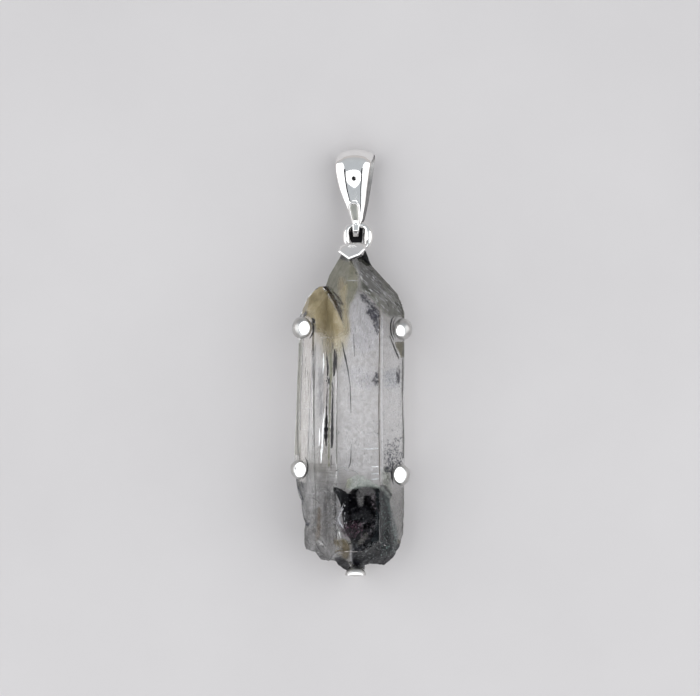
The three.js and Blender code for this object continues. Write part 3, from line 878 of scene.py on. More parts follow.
def bail_tail():
    """The end of the rear leaf inside the ring's eye, coloured near black: painted shade for the dark eye of the ring.
    """
    m = Nodes("painted_shade_black_silver")
    patch = m.noise(3.0, 4)
    m.principled(
        Base_Color=m.ramp(patch, [(0.35, (0.004, 0.004, 0.006)), (0.8, (0.02, 0.02, 0.022))]),
        Metallic=0.0,
        Roughness=0.55,
        Specular_IOR_Level=0.15,
    )
    line = [
        (222.0, 350.6, 362.6, 20.9), (226, 349.4, 363.0, 22.6), (230, 349.2, 363.0, 23.6), (235, 349.4, 362.9, 24.6),
        (239, 350.2, 362.6, 25.4), (242, 351.8, 361.6, 26.0), (243.7, 355.0, 359.6, 26.4),
    ]
    fine = catmull([(y, a, b, z) for y, a, b, z in line], 6)
    cols = 12
    verts, top = [], []
    for y, a, b, z in fine:
        for k in range(cols):
            u = -1 + 2 * k / (cols - 1)
            verts.append(at(a + (b - a) * (u + 1) / 2, y, z - 0.5 * u * u))
    for y, a, b, z in fine:
        for k in range(cols):
            u = -1 + 2 * k / (cols - 1)
            verts.append(at(a + (b - a) * (u + 1) / 2, y, z - 0.5 * u * u - 1.6))
    rows = len(fine)
    faces = rows_to_faces(rows, cols, closed_sides=False)
    base = rows * cols
    faces += [tuple(reversed(f)) for f in rows_to_faces(rows, cols, closed_sides=False, start=base)]
    for i in range(rows - 1):
        faces.append((i * cols, (i + 1) * cols, base + (i + 1) * cols, base + i * cols))
        faces.append((i * cols + cols - 1, base + i * cols + cols - 1, base + (i + 1) * cols + cols - 1, (i + 1) * cols + cols - 1))
    for k in range(cols - 1):
        faces.append((k, base + k, base + k + 1, k + 1))
        e = (rows - 1) * cols
        faces.append((e + k, e + k + 1, base + e + k + 1, base + e + k))
    obj = outward(add_mesh("bail_tail_painted_shade", verts, faces, m.mat, body="bail", sharp=50))


bail_tail()


# --------------------------------------------------------------------- crystal
def crystal():
    """The CAD crystal with worn edges, growth steps and a rough broken base."""
    bm = bmesh.new()
    bm.from_mesh(NODES["quartz_crystal"].data)
    bmesh.ops.remove_doubles(bm, verts=bm.verts, dist=3e-7)
    bmesh.ops.dissolve_limit(
        bm, angle_limit=math.radians(0.5), verts=bm.verts, edges=bm.edges
    )
    worn = [
        e for e in bm.edges
        if len(e.link_faces) == 2 and e.calc_face_angle(0) > math.radians(12)
        and MID_Y - (e.verts[0].co.y + e.verts[1].co.y) / 2 / GRID < 500
        and max(abs(v.co.x / GRID + MID_X - 336) for v in e.verts) > 1.2
    ]
    bmesh.ops.bevel(
        bm, geom=worn, offset=0.15 * GRID, segments=1, profile=0.5,
        affect="EDGES", clamp_overlap=True, loop_slide=True,
    )

    def cut(point, normal):
        bmesh.ops.bisect_plane(
            bm, geom=bm.verts[:] + bm.edges[:] + bm.faces[:], dist=2e-8,
            plane_co=point, plane_no=normal,
        )

    rng = random.Random(5)
    # growth steps: each is a narrow slope between two flat bands
    steps, y = [], 296.0
    while y < 500:
        steps.append(y)
        y += rng.uniform(2.2, 9.5) if y < 430 else rng.uniform(1.6, 5.0)
    for s in steps:
        cut(at(0, s, 0), (0, 1, 0))
        cut(at(0, s + 0.45, 0), (0, 1, 0))
    level = [0.0]
    for k in range(len(steps)):
        level.append(min(0.42, max(0.0, level[-1] + rng.uniform(-0.17, 0.17))))
    cut(at(339.5, 0, 0), (1, 0, 0))
    # the broken base is cut fine
    for y in np.arange(500, 572, 3.1):
        cut(at(0, y, 0), (0, 1, 0))
    low_faces = [f for f in bm.faces if f.calc_center_median().y < at(0, 470, 0).y]
    for x in np.arange(296, 408, 3.3):
        geo = list({v for f in bm.faces if f.calc_center_median().y < at(0, 474, 0).y for v in f.verts})
        faces = [f for f in bm.faces if f.calc_center_median().y < at(0, 474, 0).y]
        edges = list({e for f in faces for e in f.edges})
        bmesh.ops.bisect_plane(bm, geom=geo + edges + faces, dist=2e-8, plane_co=at(x, 0, 0), plane_no=(1, 0, 0))
    for z in np.arange(7, 78, 4.7):
        faces = [f for f in bm.faces if f.calc_center_median().y < at(0, 474, 0).y]
        geo = list({v for f in faces for v in f.verts})
        edges = list({e for f in faces for e in f.edges})
        bmesh.ops.bisect_plane(bm, geom=geo + edges + faces, dist=2e-8, plane_co=at(0, 0, z), plane_no=(0, 0, 1))
    bmesh.ops.triangulate(bm, faces=[f for f in bm.faces if len(f.verts) > 4])
    bm.normal_update()

    moves = []
    for v in bm.verts:
        gy = MID_Y - v.co.y / GRID
        gx = v.co.x / GRID + MID_X
        gz = v.co.z / GRID
        n = v.normal.copy()
        flat = Vector((n.x, 0, n.z))
        amount = 0.0
        if 295 < gy < 500 and abs(n.y) < 0.35:
            k = 0
            while k < len(steps) and gy > steps[k] + 0.2:
                k += 1
            turn = math.atan2(n.z, n.x)
            part = 0.55 + 0.9 * noise.noise(Vector((turn * 1.3, k * 0.37, 4.0)))
            amount += level[k] * max(0.15, part)
        if gy > 476:
            q = Vector((gx, gy, gz))
            rough = smoothstep(492, 552, gy) * 2.1
            if gx < 336:
                rough += 0.45 * smoothstep(478, 500, gy)
            big = 0.5 + 0.5 * noise.noise(q / 13.0)
            mid = abs(noise.noise(q / 5.2 + Vector((9, 0, 3))))
            fine = 0.5 + 0.5 * noise.noise(q / 2.3)
            amount += rough * (0.95 * big + 0.75 * mid + 0.20 * fine)
        moves.append((v, -(flat if gy < 500 else n) * amount * GRID))
    for v, m in moves:
        v.co += m
        # the front face leans a little to the right
        x, z = v.co.x / GRID + MID_X, v.co.z / GRID
        v.co.z -= 0.062 * min(max(x - 339.5, 0), 40.5) * smoothstep(55, 74, z) * GRID
    bm.normal_update()
    for e in bm.edges:
        if len(e.link_faces) == 2:
            y = MID_Y - (e.verts[0].co.y + e.verts[1].co.y) / 2 / GRID
            limit = 4.2 + 24.0 * smoothstep(498, 530, y)
            e.smooth = e.calc_face_angle(0) < math.radians(limit)
    mesh = bpy.data.meshes.new("quartz_body")
    bm.to_mesh(mesh)
    bm.free()
    obj = bpy.data.objects.new("quartz_body", mesh)
    scene.collection.objects.link(obj)
    mesh.materials.append(clear_quartz)
    mesh.polygons.foreach_set("use_smooth", [True] * len(mesh.polygons))
    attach(obj, "setting")
    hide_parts("quartz_crystal")
    return obj


clear_quartz = quartz_glass("quartz_clear", (0.80, 0.79, 0.77), 18.0)
body = crystal()

from mathutils.bvhtree import BVHTree

skin = BVHTree.FromPolygons(
    [v.co.copy() for v in body.data.vertices], [tuple(p.vertices) for p in body.data.polygons]
)


def top_z(x, y):
    """Height of the quartz above grid point (x, y)."""
    hit = skin.ray_cast(at(x, y, 110), Vector((0, 0, -1)))
    return hit[0].z / GRID if hit[0] is not None else None


def below(x, y, depth):
    """The point depth grid steps under the quartz's surface, on the line of sight.
    Past the outline it is moved in; where the quartz is thin it stays half way."""
    z = 60.0
    for _ in range(3):
        wx, wy, _z = seen(x, y, z)
        found = top_z(wx, wy)
        for _k in range(18):
            if found is not None:
                break
            wx += 0.4 if wx < 352 else -0.4
            wy += 0.3 if wy < 300 else -0.3 if wy > 530 else 0
            found = top_z(wx, wy)
        if found is None:
            found = 60.0
        low_hit = skin.ray_cast(at(wx, wy, -5), Vector((0, 0, 1)))
        floor_z = low_hit[0].z / GRID if low_hit[0] is not None else found - 20
        z = max(found - depth, (found + floor_z) / 2)
    return at(wx, wy, z)


def near_outline(x, y, reach=2.4):
    wx, wy, _z = seen(x, y, 58)
    for k in range(8):
        q = k * math.pi / 4
        if top_z(wx + reach * math.cos(q), wy + reach * math.sin(q)) is None:
            return True
    return False


# --------------------------------------------------------- sealed in the quartz
from mathutils.geometry import delaunay_2d_cdt


def inside_polygon(p, poly):
    x, y = p
    hit = False
    j = len(poly) - 1
    for i in range(len(poly)):
        xi, yi = poly[i]
        xj, yj = poly[j]
        if (yi > y) != (yj > y) and x < (xj - xi) * (y - yi) / (yj - yi) + xi:
            hit = not hit
        j = i
    return hit


def segment_distance(p, a, b):
    (px, py), (ax, ay), (bx, by) = p, a, b
    dx, dy = bx - ax, by - ay
    t = max(0.0, min(1.0, ((px - ax) * dx + (py - ay) * dy) / (dx * dx + dy * dy + 1e-12)))
    return math.hypot(px - ax - t * dx, py - ay - t * dy)


def edge_distance(p, poly):
    n = len(poly)
    return min(segment_distance(p, poly[i], poly[(i + 1) % n]) for i in range(n))


def lens(name, outline, depth, material, half=1.0, step=2.5, soft=4.0, rough=0.5, lump=9.0,
         edge=0.4, seed=0.0, smooth=True, mask=None):
    """A flat body sealed in the quartz: outline as seen from the front, middle at
    height depth (a number or a function of x, y), thickest in the middle."""
    rng = random.Random(int(seed * 97) + 13)
    ring = [tuple(p) for p in even([(x, y) for x, y in outline], max(12, int(
        sum(math.dist(outline[i], outline[(i + 1) % len(outline)]) for i in range(len(outline))) / (step * 0.8))), closed=True)]
    ring = [
        (x + edge * step * noise.noise(Vector((x / 3.1, y / 3.1, seed))),
         y + edge * step * noise.noise(Vector((x / 3.1 + 40, y / 3.1, seed))))
        for x, y in ring
    ]
    xs, ys = [p[0] for p in ring], [p[1] for p in ring]
    points = list(ring)
    y = min(ys) + step / 2
    row = 0
    while y < max(ys):
        x = min(xs) + (step / 2 if row % 2 else step)
        while x < max(xs):
            q = (x + rng.uniform(-0.25, 0.25) * step, y + rng.uniform(-0.25, 0.25) * step)
            if inside_polygon(q, ring) and edge_distance(q, ring) > step * 0.45:
                points.append(q)
            x += step
        y += step * 0.87
        row += 1
    m = len(ring)
    verts2, _, tris, origin, _, _ = delaunay_2d_cdt(
        [Vector(p) for p in points], [(i, (i + 1) % m) for i in range(m)], [], 1, 1e-4
    )
    under = depth[1] if isinstance(depth, tuple) else None
    middle = depth if callable(depth) else (lambda a, b: depth)
    # it does not fade where it reaches the outline of the crystal
    cut = [near_outline(x, y) for x, y in ring] if under is not None else [False] * m
    free = [(ring[i], ring[(i + 1) % m]) for i in range(m) if not (cut[i] and cut[(i + 1) % m])]
    top, bottom, fade, shared = [], [], [], []
    for v in verts2:
        d = edge_distance(v, ring)
        rim = d < step * 0.05
        wave = rough * noise.noise(Vector((v.x / lump, v.y / lump, seed * 3.3)))
        s = math.sqrt(max(0.0, 1 - (1 - min(1.0, d / max(soft, 1e-3))) ** 2))
        wobble = 1 + 0.5 * noise.noise(Vector((v.x / (lump * 0.5), v.y / (lump * 0.5), seed + 7)))
        h = 0.0 if rim else max(0.05, half * s * wobble)
        if under is None:
            z = middle(v.x, v.y) + wave
            top.append(within(v.x, v.y, z + h))
            bottom.append(within(v.x, v.y, z - h))
        else:
            p = below(v.x, v.y, under + abs(wave))
            top.append(p + Vector((0, 0, h * GRID)))
            bottom.append(p - Vector((0, 0, h * GRID)))
        f = min(segment_distance(v, a, b) for a, b in free) if free else soft
        fade.append(min(1.0, f / max(soft, 1e-3)) * (mask(v.x, v.y) if mask else 1.0))
        shared.append(rim)
    verts, where, values = list(top), [], list(fade)
    for i, p in enumerate(bottom):
        if shared[i]:
            where.append(i)
        else:
            where.append(len(verts))
            verts.append(p)
            values.append(fade[i])
    faces = []
    for t in tris:
        faces.append(tuple(t))
        back = tuple(where[i] for i in reversed(t))
        if set(back) != set(t):
            faces.append(back)
    obj = add_mesh(name, verts, faces, material, smooth=smooth, sharp=60)
    attribute = obj.data.attributes.new("fade", "FLOAT", "POINT")
    attribute.data.foreach_set("value", values)
    outward(obj)
    return obj


def mineral(name, colours, alpha=1.0, size=6.0, rough=0.5, soft=True, contrast=(0.3, 0.7),
            cover=None, detail=5.0, stretch=(1, 1, 1), shine=0.5, metal=0.0):
    """Material of a sealed body. colours run over a noise; alpha fades at its rim;
    cover=(low, high) breaks it up by a second noise."""
    m = Nodes(name)
    n = m.noise(size, detail, 0.62, stretch=stretch, twist=0.4)
    k = len(colours)
    lo, hi = contrast
    base = m.ramp(n, [(lo + (hi - lo) * i / max(1, k - 1), c) for i, c in enumerate(colours)])
    values = dict(Base_Color=base, Roughness=rough, Specular_IOR_Level=shine, Metallic=metal)
    if soft or cover:
        a = None
        if soft:
            f = m.node("ShaderNodeAttribute")
            f.attribute_name = "fade"
            a = m.within(f.outputs["Fac"], 0.0, 1.0)
        if cover:
            c = m.within(m.noise(size * 0.7, 5, 0.65, stretch=stretch, move=(3.3, 1.7, 0.4)), *cover)
            a = m.math("MULTIPLY", a, c) if a is not None else c
        values["Alpha"] = m.math("MULTIPLY", a, alpha)
    elif alpha < 1:
        values["Alpha"] = alpha
    m.principled(**values)
    return m.mat


def slivers(name, lines, material, slope=None):
    """Thin blades. Each line: points (x, y, width, z) in picture steps, inside. With
    slope, they fall to the right by that much instead of following the surface."""
    verts, faces = [], []
    for points in lines:
        fine = catmull(points, 5) if len(points) > 2 else [
            np.array(points[0]) + (np.array(points[1]) - np.array(points[0])) * t for t in np.linspace(0, 1, 8)
        ]
        start = len(verts)
        rows = len(fine)
        for i, (x, y, w, z) in enumerate(fine):
            a, b = fine[max(i - 1, 0)], fine[min(i + 1, rows - 1)]
            t = np.array([b[0] - a[0], b[1] - a[1]])
            t = t / (np.linalg.norm(t) + 1e-9)
            n = np.array([-t[1], t[0]])
            jag = 1 + 0.35 * noise.noise(Vector((x * 0.9, y * 0.6, z)))
            h = max(w, 0.05) / 2 * jag
            shift = 0.25 * noise.noise(Vector((y * 0.5, x * 0.3, 5)))
            x += n[0] * shift
            y += n[1] * shift
            if z < 0:  # a depth under the surface
                left, right, mid = (
                    below(x + n[0] * h, y + n[1] * h, -z), below(x - n[0] * h, y - n[1] * h, -z), below(x, y, -z)
                )
            else:
                left, right, mid = within(x + n[0] * h, y + n[1] * h, z), within(x - n[0] * h, y - n[1] * h, z), within(x, y, z)
            if slope is not None:
                left.z = mid.z - slope * (left.x - mid.x)
                right.z = mid.z - slope * (right.x - mid.x)
            verts.append(left)
            verts.append((left + right) / 2 + Vector((0, 0, h * 0.04 * GRID)))
            verts.append(right)
            verts.append(mid - Vector((0, 0, h * 0.9 * GRID)))
        faces += rows_to_faces(rows, 4, start=start)
        faces.append(tuple(start + k for k in reversed(range(4))))
        faces.append(tuple(start + (rows - 1) * 4 + k for k in range(4)))
    obj = outward(add_mesh(name, verts, faces, material, smooth=False))
    return obj


def flakes(name, spots, material, seed=1):
    """Small broken plates. Each spot: x, y, z, size along x, size along y, turn."""
    rng = random.Random(seed)
    verts, faces = [], []
    for x, y, z, sx, sy, turn in spots:
        n = rng.randint(5, 8)
        start = len(verts)
        c, s = math.cos(turn), math.sin(turn)
        tx, ty = rng.uniform(-0.4, 0.4), rng.uniform(-0.4, 0.4)
        radii = [rng.uniform(0.65, 1.2) for _ in range(n)]
        for up in (1, -1):
            for k in range(n):
                q = 2 * math.pi * k / n
                u, v = math.cos(q) * sx / 2 * radii[k], math.sin(q) * sy / 2 * radii[k]
                dx, dy = u * c - v * s, u * s + v * c
                lift = dx * tx + dy * ty + up * 0.14
                if z < 0:
                    verts.append(below(x, y, -z) + Vector((dx, -dy, lift)) * GRID)
                else:
                    verts.append(within(x + dx, y + dy, z + lift))
        faces.append(tuple(start + k for k in reversed(range(n))))
        faces.append(tuple(start + n + k for k in range(n)))
        for k in range(n):
            faces.append((start + k, start + (k + 1) % n, start + n + (k + 1) % n, start + n + k))
    obj = outward(add_mesh(name, verts, faces, material, smooth=False))
    return obj


# --- the dark mass in the base
black = mineral("tourmaline_black", [(0.0006, 0.0006, 0.001), (0.002, 0.002, 0.004), (0.012, 0.012, 0.018)],
                size=5, soft=False, contrast=(0.35, 0.85), rough=0.6, shine=0.12)
MASS = [
    (334.0, 486.2), (336.6, 487.4), (341.5, 489.6), (345.2, 491.6), (347.0, 493.4), (349.6, 491.0),
    (352.6, 488.6), (356.5, 485.4), (362, 486.4), (366, 484.6), (372.6, 485.6), (377.0, 487.0), (378.6, 492),
    (379.0, 503.4), (379.4, 515.6), (379.6, 530.6), (379.0, 545), (376.6, 554.4), (368, 555.4), (360.4, 552.4), (354.8, 546.5), (350.6, 541), (347.2, 534.2),
    (344.4, 528.4), (342.4, 521.6), (341.6, 514.6), (341.6, 508.4), (340.4, 503.4), (338.6, 499.2), (336.4, 493.4),
]


def mass_z(x, y):
    # the mass leans: nearest the front face low on its right
    return 38 + 8 * smoothstep(486, 540, y) - 6 * smoothstep(545, 560, y)


lens("dark_mass", MASS, mass_z, black, half=19, step=2.0, soft=9, rough=5, lump=7, edge=0.5, seed=1)

lens("mass_horn", [
    (333.8, 486.4), (336.6, 487.4), (341.5, 489.8), (345.6, 491.8), (348.4, 495), (348, 503), (345.4, 512),
    (341.8, 510.6), (340.6, 504.4), (338.6, 499.2), (336.2, 494.2), (334.4, 490.4),
], ("under", 2.2), black, half=0.7, step=1.5, soft=1.2, rough=0.4, lump=4, edge=0.4, seed=40)

# greenish black shell along its right side
deep = mineral("chlorite_black", [(0.0004, 0.0007, 0.001), (0.0015, 0.003, 0.004), (0.006, 0.010, 0.013), (0.028, 0.038, 0.040)],
               alpha=1.0, size=4.0, contrast=(0.30, 0.86), cover=(-0.3, 0.10), rough=0.7, shine=0.1)
lens("mass_right", [
    (374.0, 485.0), (380.0, 486.0), (383.6, 492.0), (386.6, 501), (389.6, 511), (391.8, 522), (394.0, 533),
    (395.4, 545), (393.0, 553.6), (386.0, 560), (376.4, 561.6), (366.6, 558), (362, 552), (368, 545), (374.0, 530), (374.6, 506),
], ("under", 3.6), deep, half=0.9, step=2.1, soft=3.0, rough=0.7, lump=5, seed=2)
deep_green = mineral("chlorite_deep", [(0.014, 0.026, 0.028), (0.040, 0.062, 0.060), (0.12, 0.155, 0.145)],
                     alpha=0.66, size=3.6, contrast=(0.32, 0.72), cover=(0.26, 0.60))
lens("green_shell", [
    (379.8, 485.0), (385.0, 491.0), (389.4, 501), (392.6, 512), (395.8, 524), (398.6, 536),
    (397.4, 547), (392.6, 554.4), (388.0, 552), (391.4, 544), (390.8, 530), (388.0, 515), (383.6, 500),
], ("under", 3.0), deep_green, half=0.8, step=2.0, soft=2.6, rough=1.5, lump=5, seed=42)

lens("olive_shade", [
    (379.6, 470), (384, 464), (389.6, 466), (392, 474), (391, 484), (394.6, 494), (390, 496), (385.6, 489), (380, 484),
], ("under", 2.6), mineral("olive_shade", [(0.13, 0.14, 0.12), (0.24, 0.25, 0.22), (0.36, 0.37, 0.34)], alpha=0.55, size=4,
                          contrast=(0.3, 0.7), cover=(0.1, 0.5)), half=0.5, step=1.8, soft=4.0, rough=0.8, lump=5, seed=48)

# paler green haze over the top of the mass and down its right edge
haze_green = mineral("chlorite_haze", [(0.20, 0.235, 0.21), (0.32, 0.355, 0.325), (0.46, 0.49, 0.46)],
                     alpha=0.50, size=6, contrast=(0.3, 0.7), cover=(0.22, 0.60))
lens("green_haze", [
    (349.0, 476.8), (356, 473.6), (364, 474.4), (371, 478.6), (376.5, 482.6), (383, 486.2), (389.6, 493.4),
    (394.2, 504), (397.4, 517), (398.4, 526), (396.0, 526),
    (393.6, 514), (389.6, 503), (382.6, 493), (373, 488.4), (362, 489), (353, 490.2), (346.6, 492), (346.2, 486),
], ("under", 3.2), haze_green, half=0.8, step=2.2, soft=4.0, rough=1.5, lump=6, seed=3)
yellow_green = mineral("chlorite_pale", [(0.26, 0.27, 0.17), (0.36, 0.365, 0.26)], alpha=0.55, size=4,
                       contrast=(0.3, 0.7), cover=(0.2, 0.5))
lens("green_spot", [(345.6, 479), (349.6, 476.8), (353.6, 479), (353.4, 485.4), (350, 489.6), (345.4, 488.6)],
     ("under", 4.5), yellow_green, half=0.4, step=1.6, soft=3.0, rough=0.6, lump=4, seed=43)

# wine-coloured and brown patches, ochre spot and white flaws in front of the mass; the pale spot low in the base is a
# painted glint
purple = mineral("wine_patch", [(0.002, 0.002, 0.003), (0.012, 0.004, 0.008), (0.032, 0.008, 0.019), (0.085, 0.036, 0.058)],
                 alpha=0.85, size=2.0, contrast=(0.36, 0.90), cover=(0.34, 0.62), shine=0.15)
lens("wine_patch", [
    (338.8, 524), (344.6, 521.0), (351, 520.6), (358.4, 521.8), (364.6, 524.4), (362.8, 531), (359.6, 536.4),
    (352, 538.2), (344.4, 536.8), (339.2, 531),
], ("under", 9), purple, half=0.8, step=1.7, soft=4.0, rough=1.5, lump=4, seed=4)

ochre = mineral("ochre_patch", [(0.055, 0.045, 0.032), (0.12, 0.098, 0.062), (0.20, 0.17, 0.115), (0.32, 0.29, 0.225)],
                alpha=0.88, size=3.0, contrast=(0.28, 0.86), cover=(0.16, 0.46), shine=0.2)
lens("ochre_patch", [
    (332.0, 541), (336.6, 536.4), (343.6, 537.0), (349.8, 541.6), (352.0, 549), (350.0, 557), (344.6, 559.4),
    (337.6, 556.4), (332.6, 549.6),
], ("under", 9), ochre, half=0.8, step=1.8, soft=4.0, rough=1.5, lump=5, seed=5)
ochre_dim = mineral("ochre_dim", [(0.008, 0.007, 0.006), (0.034, 0.029, 0.021), (0.10, 0.088, 0.066)],
                    alpha=0.70, size=2.8, contrast=(0.3, 0.8), cover=(0.24, 0.52))
lens("ochre_streak", [(354.2, 544.6), (359.8, 536.4), (364.6, 531.0), (368.4, 531.6), (367.6, 538), (361.4, 545.4), (356.6, 549)],
     ("under", 8), ochre_dim, half=0.6, step=1.5, soft=2.4, rough=1.0, lump=4, seed=6)

murk = mineral("base_murk", [(0.0008, 0.0008, 0.0012), (0.004, 0.004, 0.006), (0.020, 0.019, 0.026), (0.085, 0.080, 0.095)],
               alpha=1.0, size=2.6, contrast=(0.32, 0.86), cover=(-0.3, 0.12), shine=0.15)
lens("base_murk", [
    (351.0, 541), (361, 544), (371, 547.4), (381, 549), (390, 546.4), (398, 541), (402.0, 543.4), (399.4, 551),
    (394.6, 559), (386, 566.4), (377.4, 566.4), (369, 564.4), (364, 568.2), (358, 570), (352, 566.6), (350.6, 555),
], ("under", 4.0), murk, half=0.9, step=2.0, soft=3.4, rough=1.0, lump=4, seed=7)
lens("base_murk_left", [
    (335.4, 555), (343.4, 556.6), (349, 561.6), (352.4, 567.4), (348.6, 571), (340.4, 567.6), (333.8, 561),
], ("under", 3.4), murk, half=0.8, step=1.6, soft=2.0, rough=0.6, lump=4, seed=8)

grey_arch = mineral("grey_arch", [(0.020, 0.019, 0.020), (0.055, 0.053, 0.054), (0.11, 0.105, 0.105), (0.22, 0.21, 0.21)], alpha=0.66,
                    size=2.2, contrast=(0.28, 0.84), cover=(0.30, 0.56))
lens("grey_arch", [
    (355.6, 493.4), (358.0, 487.4), (365, 485.0), (371.4, 486.4), (377.4, 491.0), (380.6, 498.2), (377.4, 502.2),
    (373.0, 500.2), (367.6, 495.6), (364.6, 497.4), (364.4, 502), (362.6, 508.0), (358.0, 506.4), (355.6, 500),
], ("under", 6), grey_arch, half=0.6, step=1.4, soft=3.0, rough=0.8, lump=4, seed=9)

# a pale spot low in the base: painted glint
pale_glint = mineral("pale_glint", [(0.34, 0.34, 0.38), (0.52, 0.52, 0.56), (0.72, 0.72, 0.75)], alpha=0.58, size=3,
                    contrast=(0.3, 0.7), cover=(0.28, 0.56), rough=0.3)
lens("pale_glint_base", [
    (348.8, 550), (352.6, 548.6), (357.2, 551.4), (357.4, 557.4), (354.6, 563.6), (350.0, 562), (349.8, 556),
], ("under", 6), pale_glint, half=0.5, step=1.4, soft=1.6, rough=1.0, lump=3, seed=10)
lens("pale_veil", [
    (343.6, 495.6), (345.4, 496.6), (345.6, 502.6), (343.4, 508.6), (340.8, 513.4), (341.4, 520), (344.4, 527.4),
    (342.6, 529.6), (338.4, 525.4), (334.4, 523.6), (332.6, 520.6), (336.6, 518.6), (338.4, 512.4), (341.4, 506.6), (343.0, 501),
], ("under", 5), mineral("pale_veil", [(0.13, 0.125, 0.135), (0.30, 0.29, 0.315), (0.62, 0.61, 0.65)], alpha=0.58, size=1.5,
                        contrast=(0.3, 0.7), cover=(0.44, 0.60), rough=0.3), half=0.5, step=1.5, soft=1.6, rough=1.2, lump=3, seed=11)

# grey cloud that fills the lower left
cloud = mineral("grey_cloud", [(0.16, 0.157, 0.156), (0.28, 0.275, 0.276), (0.44, 0.435, 0.44)], alpha=0.66,
                size=5, contrast=(0.3, 0.7), cover=(0.0, 0.42), stretch=(1, 0.8, 1))
lens("grey_cloud", [
    (309, 457), (322, 455.6), (334, 457.6), (343.4, 465), (346, 478), (344, 488), (341, 500), (341.4, 516),
    (343, 530), (344, 542), (347, 556), (343, 563), (337.6, 562.4), (327, 562.6), (319.4, 561), (312.6, 554.6),
    (304, 551), (302.0, 540), (302.6, 524), (301.0, 508), (300.0, 497), (297.0, 486), (296.4, 474.4), (302, 466),
], ("under", 9), cloud, half=1.0, step=3.2, soft=10, rough=1.6, lump=12, seed=12,
     mask=lambda x, y: (0.56 + 0.44 * smoothstep(484, 508, y))
     * smoothstep(456, 490, y + 9 * noise.noise(Vector((x * 0.16, y * 0.07, 6)))))
lens("back_veil", [
    (302, 450), (310, 440), (324, 437), (336, 442), (339, 458), (339, 484), (330, 496), (314, 497), (302, 488), (299, 468),
], ("under", 17), mineral("back_veil", [(0.33, 0.32, 0.30), (0.45, 0.435, 0.415), (0.57, 0.555, 0.535)], alpha=0.50,
                         size=6, contrast=(0.3, 0.7), cover=(-0.1, 0.3)), half=0.8, step=3.0, soft=13, rough=1.2, lump=10, seed=47)
rim_grey = mineral("rim_grey", [(0.10, 0.098, 0.095), (0.19, 0.186, 0.184), (0.29, 0.285, 0.29)], alpha=0.80,
                   size=5, contrast=(0.3, 0.7), cover=(0.0, 0.34))
lens("rim_left", [
    (300.4, 494), (305.0, 500), (308.6, 510), (309.6, 524), (309.0, 538), (313.0, 548), (322, 555.0),
    (334, 557.6), (336, 562.6), (327, 563.6), (319.4, 561.6), (312.6, 555.6),
    (304, 552), (301.4, 541), (301.6, 524), (300.6, 508),
], ("under", 3.5), rim_grey, half=0.8, step=2.2, soft=3.5, rough=0.8, lump=7, seed=44)
rust = mineral("brown_streak", [(0.13, 0.105, 0.085), (0.22, 0.185, 0.155)], alpha=0.55, size=6,
               contrast=(0.35, 0.65), cover=(0.1, 0.45), stretch=(1, 0.4, 1))
lens("brown_streak", [(316.0, 506), (319.8, 505), (321.0, 516), (320.6, 530), (319.0, 541), (315.6, 541), (314.8, 528), (315.4, 515)],
     ("under", 4), rust, half=0.5, step=1.7, soft=2.2, rough=1, lump=6, seed=13)


# --- tinted zones under the tip faces
olive = mineral("olive_zone", [(0.25, 0.205, 0.110), (0.38, 0.315, 0.180), (0.52, 0.44, 0.29)], alpha=0.92,
                size=9, contrast=(0.3, 0.72), cover=(-0.1, 0.26), stretch=(1, 0.8, 1))
lens("olive_side_tip", [
    (302.4, 320), (302.6, 309), (308.6, 298.0), (315.0, 290.6), (320.6, 286.4), (325.6, 286.8), (330.4, 294.6), (335.6, 302),
    (340.6, 311.6), (344.6, 319.6), (350.6, 322), (352.6, 332), (350.6, 346), (343, 362), (335, 374), (328, 370),
    (321, 362), (312.6, 362), (306.4, 354), (311.4, 334), (311.4, 322.6), (305.6, 318.6),
], ("under", 3.0), olive, half=0.5, step=2.3, soft=5.0, rough=0.8, lump=8, seed=20,
     mask=lambda x, y: 1 - math.sqrt(0.02 + 0.98 * smoothstep(314, 362, y - 9 * math.exp(-(((x - 333) / 9.0) ** 2)))))
olive_fade = mineral("olive_fade", [(0.36, 0.33, 0.23), (0.52, 0.49, 0.38)], alpha=0.52, size=7,
                     contrast=(0.3, 0.7), cover=(0.2, 0.62), stretch=(1.6, 0.3, 1))
lens("olive_fade", [
    (316.0, 332), (324, 322), (338, 318), (350, 324), (351, 346), (343, 366), (335.6, 382),
    (328.6, 384), (322.6, 368), (316.6, 356),
], ("under", 4.0), olive_fade, half=0.4, step=2.6, soft=11, rough=0.8, lump=8, seed=21)
grey_olive = mineral("grey_olive_zone", [(0.14, 0.136, 0.098), (0.215, 0.208, 0.155), (0.30, 0.292, 0.235)], alpha=0.90,
                     size=9, contrast=(0.3, 0.7), cover=(-0.1, 0.26))
lens("grey_olive_tip", [
    (340.4, 256.6), (347.6, 260.0), (352.6, 261.4), (357.8, 270.0), (359.8, 278.6), (359.0, 288), (356, 297),
    (351, 306), (349.4, 318), (351.0, 330), (346, 340), (341.0, 334), (340.0, 318), (337.6, 306), (332.4, 297), (326.6, 289.4), (325.6, 281),
    (330.4, 271.2), (335.8, 262),
], ("under", 3.0), grey_olive, half=0.5, step=2.3, soft=4.0, rough=0.8, lump=8, seed=22)
brown = mineral("brown_band", [(0.27, 0.225, 0.135), (0.40, 0.35, 0.235)], alpha=0.72, size=6,
                contrast=(0.3, 0.7), cover=(0.0, 0.45), stretch=(1, 0.4, 1))
lens("brown_band", [
    (338.0, 276), (344.6, 275), (348.4, 284), (348.6, 296), (348.8, 308), (350.6, 320), (350.0, 332), (345.0, 338), (341.6, 326), (340.4, 312), (338.0, 300), (336.6, 286),
], ("under", 2.2), brown, half=0.3, step=2.0, soft=5.0, rough=0.5, lump=8, seed=23)
smoke = mineral("smoky_zone", [(0.070, 0.070, 0.058), (0.115, 0.115, 0.098), (0.175, 0.175, 0.158), (0.26, 0.26, 0.245)],
                alpha=0.88, size=7, contrast=(0.28, 0.75), cover=(-0.1, 0.30), stretch=(1, 0.8, 1))
